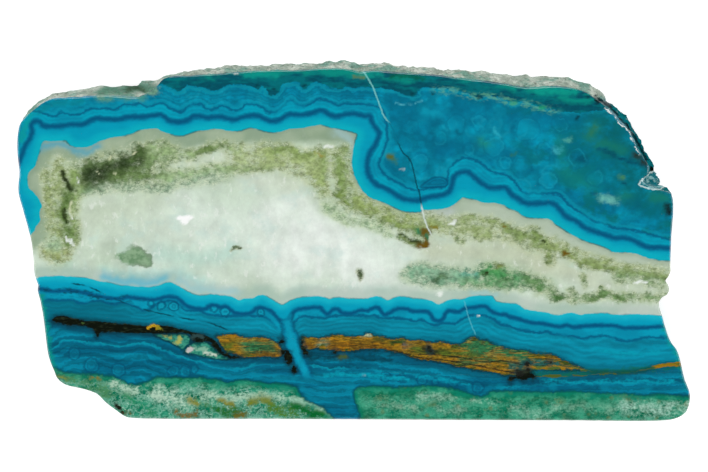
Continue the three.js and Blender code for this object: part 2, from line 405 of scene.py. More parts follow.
def tint(red, green, blue):
    """A colour as painted, 0 to 255 a channel, turned to the linear light that shaders work in."""
    channels = [c / 255.0 for c in (red, green, blue)]
    return tuple(c / 12.92 if c < 0.04045 else ((c + 0.055) / 1.055) ** 2.4 for c in channels) + (1.0,)


def sums(operation, first, second=0.0):
    """One arithmetic step on amounts or numbers. A node is always made after those that feed it, which
    keeps the renderer's working memory small."""
    made = tree.nodes.new("ShaderNodeMath")
    made.operation = operation
    fill(made.inputs[0], first)
    fill(made.inputs[1], second)
    return Amount(made.outputs[0])


def larger(first, second):
    """The larger of two amounts at each point."""
    return sums("MAXIMUM", first, second)


def rise(value, low, high):
    """0 below low and 1 above high, with a smooth step between; falls instead where low is above high."""
    made = tree.nodes.new("ShaderNodeMapRange")
    made.interpolation_type = "SMOOTHSTEP"
    made.clamp = False
    fill(made.inputs[0], value)
    made.inputs[1].default_value = min(low, high)
    made.inputs[2].default_value = max(low, high)
    made.inputs[3].default_value = 0.0 if low < high else 1.0
    made.inputs[4].default_value = 1.0 if low < high else 0.0
    return Amount(made.outputs[0])


def over(below, above, share):
    """One colour laid over another by a share: below times one less the share, and above times the share."""
    made = tree.nodes.new("ShaderNodeMix")
    made.data_type = "RGBA"
    fill(made.inputs[0], share)
    fill(made.inputs[6], below)
    fill(made.inputs[7], above)
    return made.outputs[2]


def read(name):
    """A value kept on the slab's vertices."""
    made = tree.nodes.new("ShaderNodeAttribute")
    made.attribute_name = name
    return Amount(made.outputs["Fac"])


def read_colour(name):
    """A colour kept on the slab's vertices, and its cover."""
    made = tree.nodes.new("ShaderNodeAttribute")
    made.attribute_name = name
    return made.outputs["Color"], Amount(made.outputs["Alpha"])


FINEST_GRAIN = 0.15
object_place = tree.nodes.new("ShaderNodeTexCoord").outputs["Object"]


def stretched(along, across, start):
    """The place in the slab divided by a length along and a length across, then moved on by a start so that
    no two patterns match."""
    made = tree.nodes.new("ShaderNodeMapping")
    fill(made.inputs["Vector"], object_place)
    made.inputs["Location"].default_value = (start, start * 0.7, start * 0.4)
    made.inputs["Scale"].default_value = [MILLIMETRES / length for length in (along, across, across)]
    return made.outputs[0]


def cloud(along, across, start, detail=3.0, rough=0.55):
    """Soft random patches of that size, 0 to 1: noise with octaves down to the finest grain at the most."""
    place = stretched(along, across, start)
    made = tree.nodes.new("ShaderNodeTexNoise")
    fill(made.inputs["Vector"], place)
    made.inputs["Scale"].default_value = 1.0
    octaves = math.log2(min(along, across) / FINEST_GRAIN)
    made.inputs["Detail"].default_value = min(detail, max(0.0, octaves))
    made.inputs["Roughness"].default_value = rough
    return Amount(made.outputs["Fac"])


def growths(size, start):
    """Distance from the middle of the nearest of many rounded growths of that size, rounded in the seams."""
    place = stretched(size, size, start)
    made = tree.nodes.new("ShaderNodeTexVoronoi")
    made.feature = "SMOOTH_F1"
    fill(made.inputs["Vector"], place)
    made.inputs["Scale"].default_value = 1.0
    made.inputs["Smoothness"].default_value = 0.35
    return Amount(made.outputs["Distance"])


def ripple(distance, spacing):
    """Bands that repeat with a spacing along a distance, from -1 to 1: the sine of a turn to each spacing."""
    return sums("SINE", distance * (2.0 * math.pi / spacing))


def shade(colour, amount):
    """A colour made lighter or darker: it is multiplied by one plus the amount, which is a mix with black
    by the amount turned round, not held to between 0 and 1."""
    share = sums("MULTIPLY", amount, -1.0)
    made = tree.nodes.new("ShaderNodeMix")
    made.data_type = "RGBA"
    made.clamp_factor = False
    fill(made.inputs[0], share)
    fill(made.inputs[6], colour)
    made.inputs[7].default_value = (0.0, 0.0, 0.0, 1.0)
    return made.outputs[2]


# Every band wavers a little along its length.
waver = (cloud(1.6, 0.9, 3.0) - 0.5) * 0.5
fine_waver = (cloud(0.45, 0.35, 11.0) - 0.5) * 0.34
waver += fine_waver
keep("across_slab", spots[:, 0])
keep("up_slab", spots[:, 1])
across_slab = read("across_slab")
up_slab = read("up_slab")

contact = read("upper_contact") + waver * 0.5
first_line = read("upper_line") + waver * 0.8
second_line = read("upper_behind") + waver * 1.3
top_layer = read("dark_top") + waver * 1.6
in_lobe = rise(across_slab, 2.0, 7.0)

# The mass of the crust: rounded growths in the lobe, even fine bands to the left of it.
blue_mottle = cloud(5.0, 3.2, 21.0, 5.0, 0.62)
blue = over((0, 116, 146), (1, 136, 163), rise(blue_mottle, 0.38, 0.62))
orb = growths(2.9, 5.0)
small_orb = growths(1.3, 17.0)
blue = shade(blue, (rise(orb, 0.66, 0.2) - 0.4) * 0.34 * in_lobe)
ring = rise(abs(orb - 0.47), 0.09, 0.01)
blue = over(blue, (20, 152, 176), ring * rise(blue_mottle, 0.48, 0.62) * 0.42)
blue = shade(blue, (rise(small_orb, 0.58, 0.2) - 0.45) * 0.2)
blue = shade(blue, (cloud(0.8, 0.7, 23.0, 5.0, 0.7) - 0.5) * 0.36)
greener = rise(cloud(3.4, 2.6, 27.0, 4.0), 0.47, 0.64) * rise(across_slab, 14.0, 34.0)
blue = over(blue, (2, 106, 110), greener * 0.85)
gap = second_line / larger(second_line - top_layer, 0.05)
fine_bands = ripple(gap, 0.19) * (1.0 - in_lobe)
blue = shade(blue, fine_bands * 0.10)
lobe_bands = ripple(second_line, 0.8) * (rise(second_line, 2.2, 0.3) * in_lobe)
blue = shade(blue, lobe_bands * 0.10)
crest = rise(abs(second_line - 0.5), 0.42, 0.02)
blue = over(blue, (6, 150, 176), crest * 0.55)

# The dark teal outer layer, greener towards the rind, with a thin light line under it.
outer = over((0, 80, 96), (0, 106, 114), rise(cloud(3.5, 1.0, 33.0, 5.0, 0.62), 0.4, 0.6))
outer = shade(outer, (cloud(0.7, 0.5, 35.0, 5.0, 0.7) - 0.5) * 0.6)
greener = rise(top_layer, 0.9, 2.0) * rise(cloud(5.0, 1.5, 37.0), 0.42, 0.58)
outer = over(outer, (4, 136, 124), greener)
light_line = rise(abs(top_layer + 0.3), 0.3, 0.02)
blue = over(blue, (10, 146, 164), light_line * 0.6)
blue = over(blue, (0, 104, 130), rise(abs(top_layer + 0.8), 0.4, 0.05) * 0.35)
blue = over(blue, outer, rise(top_layer, -0.1, 0.14))

# Between the two dark lines, then the bright band that ends the crust.
between = over((2, 136, 165), (0, 154, 180), rise(blue_mottle, 0.4, 0.6))
between = shade(between, ripple(first_line, 0.56) * 0.05)
between = over(between, (0, 118, 150), rise(first_line, 0.75, 0.25))
upper = over(blue, between, rise(second_line, 0.12, -0.12))
second_cover = rise(abs(second_line), 0.36, 0.0)
second_cover *= rise(cloud(5.0, 5.0, 41.0), 0.24, 0.46)
upper = over(upper, (0, 88, 124), second_cover * 0.8)
bright = over((6, 170, 188), (0, 152, 181), rise(contact, 0.25, 1.7))
bright = shade(bright, (cloud(2.0, 0.8, 43.0, 5.0, 0.65) - 0.5) * 0.18)
bright = over(bright, (0, 124, 158), rise(first_line, -0.8, -0.15))
upper = over(upper, bright, rise(first_line, 0.16, -0.2))
line_cover = rise(abs(first_line - 0.03), 0.6, 0.0)
upper = over(upper, (0, 84, 122), line_cover * 0.95)
skin = rise(abs(contact), 0.2, 0.03) * rise(cloud(4.0, 4.0, 47.0), 0.46, 0.6)
above_contact = rise(contact, -0.09, 0.1)

# The lower chrysocolla: the same crust grown from the other wall of the vein. Its bright cyan band lies
# under the chalcedony, with a dark line and a softer one behind it, then finer bands down to the foot.
LOWER_CONTACT = (
    (-50.5, -6), (-47.8, -5.8), (-47, -5.6), (-46, -5.5), (-44.5, -5.45), (-43, -5.5), (-41.5, -5.6),
    (-40, -5.75), (-39, -6), (-38.3, -6.2), (-37, -6.4), (-36, -6.6), (-35, -6.85), (-33.5, -6.95),
    (-32, -7.05), (-30.5, -7.1), (-30, -7), (-29, -6.8), (-28.2, -6.45), (-27.2, -6.5), (-26.2, -7),
    (-25.2, -7.6), (-24.2, -8.1), (-23.3, -8.3), (-22.2, -8.3), (-21, -8.2), (-20, -8.3), (-19, -8.4),
    (-18.3, -8.55), (-17.6, -8.9), (-17.2, -9.1), (-16.7, -8.9), (-16.2, -8.8), (-15.2, -8.85),
    (-14.8, -8.65), (-14.2, -8.3), (-13.4, -8.3), (-12.8, -8.6), (-12, -9.1), (-11.2, -9.6),
    (-10.6, -9.75), (-10, -9.4), (-9.3, -9.05), (-8.7, -8.85), (-7.7, -8.6), (-6.5, -8.5), (-5, -8.5),
    (-4.2, -8.7), (-3.6, -8.9), (-3, -8.7), (-2, -8.65), (-1, -8.8), (0, -8.85), (2, -8.85), (2.6, -8.65),
    (3.2, -8.5), (4, -8.55), (4.6, -8.85), (5.2, -9.1), (5.8, -8.8), (6.6, -8.55), (8, -8.6),
    (9.3, -8.85), (11, -9), (12, -9.35), (12.7, -9.7), (13.3, -9.5), (14, -9.15), (15.2, -8.9),
    (16.2, -8.95), (16.9, -8.7), (17.8, -8.45), (19.2, -8.4), (20.7, -8.45), (21.1, -8.9), (21.5, -9.25),
    (22.5, -9.45), (24, -9.55), (24.8, -9.8), (25.4, -10.3), (26.3, -10.55), (27.5, -10.7), (29, -10.95),
    (30, -11.25), (31, -11.25), (32, -11.05), (33, -11), (34, -11.25), (35, -11.1), (36.5, -11.05),
    (38, -11.05), (39, -11.2), (40.5, -11.25), (42, -11.2), (44, -11.25), (46, -11.4), (49.5, -11.6),
)
LOWER_LINE = (
    (-49.5, -7), (-46.8, -7.4), (-45.5, -7.65), (-44, -7.65), (-42.5, -7.65), (-41, -7.8), (-39.5, -8.15),
    (-38.3, -8.4), (-37.2, -8.7), (-36.2, -8.85), (-35, -8.8), (-34, -8.6), (-33, -8.75), (-31, -8.9),
    (-30, -8.95), (-29.2, -8.85), (-28.4, -8.6), (-27.5, -8.55), (-26.6, -8.7), (-26, -9.1),
    (-25.5, -9.6), (-25, -9.9), (-24.2, -10.2), (-23.2, -10.4), (-22.3, -10.35), (-21.8, -10),
    (-21.2, -9.8), (-20.6, -9.9), (-20, -10.1), (-19.3, -10), (-18.7, -10.2), (-18.2, -10.7),
    (-17.6, -11), (-16, -11.05), (-15.2, -10.8), (-14.6, -10.3), (-14, -10.15), (-13.3, -10.3),
    (-12.6, -10.6), (-12, -11), (-11.6, -11.5), (-11.2, -12), (-10.4, -12.3), (-9.6, -11.8),
    (-9.3, -11.2), (-8.9, -10.7), (-8.2, -10.4), (-7, -10.2), (-5.2, -10.2), (-4.7, -10.5), (-4.2, -11),
    (-3.8, -11.1), (-3.4, -10.7), (-2.9, -10.4), (-2.4, -10.4), (-1.9, -10.8), (-1.4, -11), (-0.5, -11),
    (0.3, -10.8), (1, -10.6), (2, -10.6), (2.7, -10.3), (3.4, -10.1), (3.9, -10.4), (4.3, -11),
    (4.8, -11.2), (5.4, -10.9), (6, -10.5), (7, -10.3), (8, -10.4), (9, -10.7), (11, -10.78),
    (11.6, -11.3), (12, -11.9), (12.7, -12.2), (13.3, -11.9), (13.7, -11.2), (14.2, -10.7),
    (15.2, -10.75), (16, -10.7), (16.6, -10.3), (17.2, -10.25), (18.2, -10.15), (19.2, -9.95),
    (20, -10.1), (20.6, -10.6), (21.2, -11), (22, -11.2), (22.8, -11.2), (23.4, -11.55), (24.5, -11.8),
    (25.5, -12.15), (27, -12.5), (28.5, -12.6), (30, -12.9), (31, -13), (32, -12.8), (33, -13.1),
    (34, -13.05), (35, -12.9), (38, -12.85), (39.5, -12.95), (40.5, -13.2), (42, -13.2), (44, -13.15),
    (46.5, -13), (50, -12.9),
)
LOWER_LINE_BEHIND = (
    (-49.5, -8.8), (-46.5, -9), (-45, -9.1), (-43.5, -9.1), (-42.3, -9.05), (-41.5, -9.4), (-40.3, -9.45),
    (-39, -9.2), (-38, -9.2), (-37, -9.5), (-36, -9.7), (-35, -9.5), (-34, -9.55), (-33, -9.9),
    (-32.2, -10.3), (-31.5, -10.6), (-30.5, -10.4), (-29.6, -9.8), (-29, -9.5), (-28, -9.3), (-27, -9.3),
    (-26.3, -9.8), (-25.6, -10.3), (-25, -10.6), (-24, -10.7), (-23, -10.7), (-22, -11.2), (-21, -11.4),
    (-19, -11.5), (-18, -11.4), (-17, -11.5), (-15.2, -11.5), (-13.5, -11.6), (-12.4, -12.4),
    (-11.4, -13.4), (-10.2, -13.8), (-9.2, -12.8), (-8.3, -11.7), (-7.5, -11.5), (-6.5, -11.7),
    (-5.5, -11.6), (-4.5, -11.7), (-2.5, -11.5), (-1.5, -11.4), (1, -11.4), (2, -11.6), (3, -11.4),
    (4, -11.7), (7, -11.8), (9.2, -12.2), (10, -12), (11.2, -12.5), (12.4, -12.9), (13.5, -12.5),
    (15.2, -12.7), (15.8, -12.2), (16.5, -11.8), (17.4, -11.5), (18.5, -11.3), (19.5, -11.4),
    (20.3, -11.7), (21.2, -12.2), (22.2, -12.7), (23.4, -13.1), (24.5, -13.4), (26, -13.7), (27.5, -14),
    (29, -13.9), (30.2, -14.2), (31.5, -14.4), (33, -14.5), (34.5, -14.9), (36, -14.5), (38, -14.5),
    (40, -15.1), (42, -15.2), (43.5, -14.7), (45.5, -14.7), (50, -14.6),
)
FOOT_EDGE = (
    (-49, -18.2), (-45.1, -19.2), (-44.4, -19.5), (-43.4, -19.9), (-42, -20.1), (-40.5, -20.1),
    (-39, -20.2), (-38, -20.4), (-36.8, -20.5), (-36, -20.6), (-35, -21.1), (-34, -21.5), (-33, -21.7),
    (-32, -21.6), (-31, -21.3), (-30, -20.8), (-29, -20.7), (-26, -20.75), (-23, -20.7), (-21.5, -20.9),
    (-20, -21.1), (-19, -21.4), (-18, -21.3), (-17, -21.1), (-15, -21.2), (-13, -21.5), (-11, -21.7),
    (-9.4, -21.9), (-8.5, -22.3), (-7.8, -23.5), (-6.5, -24.4), (-5, -25), (-4, -25.8), (-3, -26.8),
    (-2, -29.5), (-0.5, -30), (0.8, -28.5), (0.9, -27), (0.8, -26), (0.5, -25), (0.2, -24), (0.05, -23),
    (0.6, -22.3), (2, -22.1), (4, -22.1), (6, -22.2), (8, -22.1), (10, -22), (12, -22), (13.5, -22.2),
    (15, -22.4), (16.5, -22.9), (18, -23.3), (19, -23.5), (20, -23.2), (21, -22.8), (23, -22.75),
    (25, -22.8), (27, -22.9), (29, -22.9), (31, -22.8), (33, -22.8), (36, -23), (38, -23.1), (40, -23.1),
    (42, -23.2), (44, -23.3), (46, -23.2), (48, -23.4), (50, -23.5), (53, -23.6),
)
# The roof and the floor of the ore seam, which split the lower crust in two.
ORE_ROOF = (
    (-50, -11.2), (-45, -11.7), (-42.5, -11.6), (-39, -12.2), (-34.5, -12.6), (-31.5, -12.95),
    (-28, -12.85), (-25.5, -13.4), (-22.5, -14), (-19.5, -14.2), (-16, -14.5), (-13, -14.7), (-10, -14.9),
    (-7, -14.6), (-3, -14.3), (1, -14.4), (2.3, -14.1), (5.4, -14.8), (9, -15), (13, -15.2),
    (15.5, -15.6), (18.3, -14.6), (20.8, -15.6), (24, -16.5), (28, -17.1), (31, -17.8), (34.5, -19.3),
    (40, -19.6), (45, -19), (52, -18.4),
)
ORE_FLOOR = (
    (-50, -12.2), (-45, -12.4), (-42, -12.9), (-38.5, -13.8), (-35, -14), (-30, -14.1), (-26, -14.4),
    (-23.5, -15.6), (-20.5, -16.8), (-17.5, -17.9), (-14, -17.8), (-10.5, -17.8), (-7.2, -16.7),
    (-3, -16.8), (1, -16.7), (4.2, -16.5), (8, -17.5), (12, -18.3), (17, -19.4), (21.5, -20.2),
    (26, -21.2), (30, -20.9), (34.5, -20.2), (40, -20), (45, -19.3), (52, -18.9),
)
# A light line in the deeper bands on the left, which the bands above and below it copy.
LEDGE = (
    (-47, -16.6), (-45.2, -16.2), (-44.1, -15.6), (-43.2, -15.1), (-41, -15.15), (-39, -15.3),
    (-37, -15.6), (-35, -16), (-33.5, -15.7), (-31.3, -15.6), (-30.2, -15.9), (-29.1, -16.4),
    (-27.4, -17), (-25.5, -17.7), (-23.3, -18.4), (-20.8, -18.9), (-18.2, -19.3), (-16.4, -19.1),
    (-14.6, -18.75), (-11.7, -18.6), (-8, -18.8), (-4, -19.4), (0, -19.3), (4, -19.6), (8, -20.2),
    (13, -20.9), (18, -21.9), (24, -22.2), (32, -21.6), (40, -21.5), (52, -21.4),
)
# A hairline fault through the bands at the left, and the larger of the rounded growths: middle, radius.
FAULT = (
    (-42.2, -6.6), (-40, -7), (-38.4, -7.7), (-36.5, -8.6), (-34, -9.6), (-31, -10.6), (-28, -11.3),
    (-25, -11.9), (-22, -12.4), (-20.5, -12.9), (-19, -13.5),
)
ORBS = (
    ((-39.3, -18.9), 1.0), ((-35.3, -19.6), 0.9), ((-27.1, -19.8), 0.75), ((-25.3, -19.8), 0.7),
    ((-23.9, -19.4), 0.5), ((-41.9, -17.1), 0.75), ((-30.4, -9.6), 0.42), ((-28.9, -9.9), 0.5),
    ((-27, -10), 0.6), ((-19.3, -10.8), 0.55), ((-20.9, -10.3), 0.4), ((-13.9, -10.9), 0.42),
    ((4.8, -20.6), 0.6), ((7.2, -20.8), 0.5), ((10.2, -21.1), 0.6), ((14.9, -21.6), 0.6),
    ((18.6, -22.2), 0.7), ((12.2, -21.4), 0.4),
)
orbs = np.min([np.linalg.norm(lean - middle, axis=1) - size for middle, size in ORBS], axis=0)
keep("fault", side_distance(lean, FAULT))
keep("orbs", orbs)
foot_edge = -side_distance(lean, FOOT_EDGE)
keep("lower_contact", -side_distance(lean, LOWER_CONTACT))
keep("lower_line", -side_distance(lean, LOWER_LINE))
keep("lower_behind", -side_distance(lean, LOWER_LINE_BEHIND))
keep("foot_edge", foot_edge)
keep("ore_roof", -side_distance(lean, ORE_ROOF))
keep("ore_floor", -side_distance(lean, ORE_FLOOR))
keep("ledge", -side_distance(lean, LEDGE))

under_contact = read("lower_contact") + waver * 0.5
under_line = read("lower_line") + waver * 0.7
under_behind = read("lower_behind") + waver * 1.2
foot = read("foot_edge") + waver * 1.3
roof = read("ore_roof") + waver * 0.8
floor = read("ore_floor") + waver * 0.8
ledge = read("ledge") + waver * 1.6

# Above the seam: bands that share out the space between the softer dark line and the seam's roof.
swell = cloud(4.2, 2.4, 55.0, 3.0) - 0.5
shallow = over((4, 124, 149), (4, 140, 166), rise(cloud(8.0, 1.4, 51.0, 4.0), 0.4, 0.6))
share_up = under_behind / larger(under_behind - roof, 0.05)
shallow = shade(shallow, ripple(share_up + swell * 0.5, 0.24) * 0.12)
shallow = over(shallow, (0, 98, 122), rise(roof, -1.3, -0.1) * 0.6)
shallow = over(shallow, (0, 88, 106), rise(across_slab, -24.0, -40.0) * 0.6)

# Below the seam: dark under it, then undulating bands down to the green foot.
deep = over((0, 92, 119), (2, 120, 146), rise(cloud(10.0, 1.6, 57.0, 5.0, 0.6), 0.4, 0.6))
rolled = ledge + swell * 0.9
deep = shade(deep, ripple(rolled, 1.2) * 0.21)
deep = shade(deep, ripple(ledge + swell * 2.0, 0.5) * 0.1)
light_ledge = rise(abs(rolled), 0.24, 0.02) * rise(cloud(6.0, 6.0, 56.0), 0.4, 0.56)
beside = rise(abs(abs(rolled) - 0.5), 0.3, 0.03)
deep = over(deep, (0, 82, 110), beside * 0.5)
deep = over(deep, (4, 146, 168), light_ledge * 0.85)
deep = over(deep, (3, 68, 92), rise(floor, 1.5, 0.1) * 0.7)
foot_orb = rise(growths(1.9, 58.0), 0.55, 0.2)
deep = over(deep, (2, 138, 162), foot_orb * rise(foot, -1.7, -0.8) * 0.45)
deep = over(deep, (0, 82, 108), rise(foot, -0.5, -0.1) * 0.6)
deep = over(deep, shallow, rise(roof + floor, 0.4, -0.4))

between = over((2, 136, 166), (3, 152, 181), rise(blue_mottle, 0.4, 0.6))
between = over(between, (0, 116, 150), rise(under_line, 0.6, 0.2))
lower = over(deep, between, rise(under_behind, 0.12, -0.12))
behind_cover = rise(abs(under_behind), 0.4, 0.0)
behind_cover *= rise(cloud(5.0, 5.0, 59.0), 0.28, 0.46)
lower = over(lower, (0, 84, 120), behind_cover * 0.85)
orb_edge = read("orbs") + waver * 1.3
orb_ring = rise(abs(orb_edge - 0.14), 0.24, 0.03)
lower = over(lower, (0, 76, 106), orb_ring * 0.6)
orb_light = 0.12 + rise(up_slab, -14.0, -13.0) * 0.5
lower = over(lower, (12, 156, 182), rise(orb_edge, 0.06, -0.12) * orb_light)
orb_ring = rise(abs(orb_edge + 0.38), 0.2, 0.03)
lower = over(lower, (0, 90, 120), orb_ring * 0.5)
bright = over((20, 178, 198), (0, 154, 184), rise(under_contact, 0.1, 1.3))
bright = shade(bright, (cloud(2.0, 0.8, 60.0, 5.0, 0.65) - 0.5) * 0.16)
bright = over(bright, (0, 122, 156), rise(under_line, -0.6, -0.1))
lower = over(lower, bright, rise(under_line, 0.14, -0.16))
line_cover = rise(abs(under_line - 0.03), 0.46, 0.0)
lower = over(lower, (0, 82, 122), line_cover * 0.95)
dusty = rise(abs(under_line - 0.2), 1.0, 0.15) * rise(across_slab, -29.0, -36.0)
dusty *= rise(cloud(1.0, 0.45, 64.0, 5.0, 0.7), 0.5, 0.62)
lower = over(lower, (2, 62, 82), dusty * 0.75)
fault = rise(abs(read("fault") + fine_waver * 0.8), 0.18, 0.03)
fault *= rise(across_slab, -42.6, -41.8) * rise(across_slab, -18.6, -19.3)
fault *= rise(cloud(3.4, 3.4, 63.0), 0.34, 0.56)
lower = over(lower, (0, 48, 62), fault * 0.85)
under_skin = rise(abs(under_contact), 0.16, 0.03)
under_skin *= rise(cloud(4.0, 4.0, 62.0), 0.44, 0.58)
below_contact = rise(under_contact, -0.1, 0.1)

# The chalcedony: milky grey-white silica that filled the last gap between the two blue crusts. It is
# duller along both contacts and whitest in the middle, and holds wisps and clots of green moss-like
# mineral and a few dark specks; the glints of small open crystals are painted on as white flecks.
WHITE = (228, 236, 229)
MILK = (212, 226, 213)
PALE = (200, 213, 192)
BEIGE = (190, 200, 174)
OLIVE = (152, 172, 110)
MOSS = (96, 124, 67)
DARK_MOSS = (36, 55, 24)
LEAF = (63, 143, 77)
GREY_GREEN = (132, 172, 142)
BROWN = (98, 92, 22)

# Soft zones of the body: colour, width, strength and path.
BODY_ZONES = (
    (MILK, 6.5, 0.95, ((-26, 1), (-14, 1), (-4, -1), (4, -3), (8, -5))),
    (WHITE, 3.6, 0.75, ((-10, -2), (-4, 0), (0, -3), (2, -5))),
    (WHITE, 2.2, 0.6, ((-12, 4), (-8, 6), (-6, 3))),
    ((193, 207, 184), 3.2, 0.75, ((-40, 3), (-37, 4), (-34, 4), (-31, 6))),
    ((200, 216, 198), 3.0, 0.6, ((-40, -2), (-36, 1), (-30, 2), (-25, -3))),
    (PALE, 1.3, 0.8, ((-29, 11.4), (-26, 11.4), (-23, 11.8), (-20, 12.2), (-18, 12.2))),
    ((186, 198, 168), 1.2, 0.7, ((-44, 12.6), (-41, 12.2), (-38, 13.1))),
    (BEIGE, 1.9, 0.85, ((12, -1.6), (16, -1.8), (20, -2), (24, -2.2), (28, -3))),
    (BEIGE, 1.7, 0.8, ((28, -3.6), (31, -4.4), (34, -5), (36, -5.6))),
    ((188, 200, 178), 1.6, 0.75, ((36, -6.4), (40, -6.8), (44, -7), (47, -7.2))),
    ((196, 206, 184), 1.6, 0.7, ((12, 3), (16, 1.8), (20, 1.2), (25, -0.4))),
    ((176, 196, 166), 1.5, 0.6, ((-10, 9), (-7, 8), (-5, 6.5), (-2.6, 4.4))),
    ((206, 216, 198), 1.4, 0.6, ((-16, 9), (-12, 8.6), (-8, 8))),
    ((150, 204, 200), 1.0, 0.45, ((-46.5, 13.9), (-44, 14.1), (-42, 13.2), (-39.5, 13.4))),
    ((140, 200, 200), 0.9, 0.5, ((-36, -6), (-33, -6.3), (-30, -6.3), (-28, -5.6))),
    ((170, 206, 200), 0.9, 0.4, ((-8, -7.8), (-2, -8), (4, -7.8))),
    ((174, 212, 198), 1.4, 0.6, ((-29, -2), (-26, -2.6), (-23, -2.8), (-20, -2.4), (-18.6, -1.6))),
    ((150, 206, 204), 1.1, 0.6, ((-37, -5.2), (-33, -5.8), (-29.4, -5.6), (-26, -5.6), (-22, -7))),
    ((172, 206, 190), 1.5, 0.7, ((-45.6, 0.6), (-45, -1), (-44.6, -2.4), (-43.6, -3.6))),
    (WHITE, 0.7, 0.7, ((-9, 2), (-8.4, -1), (-8.6, -4))),
    (WHITE, 0.6, 0.7, ((-5.4, 1.6), (-5, -1.6), (-5.4, -5))),
    (WHITE, 0.6, 0.7, ((-1.6, 0.4), (-1.2, -2.4), (-1.4, -5.4))),
)

# Where the blue shows through thin chalcedony along the contacts.
CONTACT_HAZE = (
    ((88, 162, 180), 0.6, 0.85,
     ((-46.7, 13.8), (-45, 14.2), (-43.2, 14), (-41.6, 13.1), (-40, 13.2), (-38.4, 14))),
    ((100, 182, 200), 0.65, 0.85,
     ((-37.4, -5.7), (-35, -6.2), (-32.4, -6.5), (-30.2, -6.4), (-28.6, -5.8))),
    ((150, 200, 206), 0.6, 0.6, ((-26, -6.2), (-24, -7.2), (-21, -7.6), (-18, -7.8))),
    ((160, 196, 200), 0.7, 0.6, ((-2.4, 16), (-0.8, 15.2), (-0.6, 13), (-0.8, 11))),
    ((184, 196, 196), 0.9, 0.75, ((10.8, 3.6), (12.4, 3.6), (14.2, 4.1))),
    ((150, 200, 204), 0.4, 0.6, ((17.8, -8.1), (20, -7.9), (21.2, -8.2))),
)

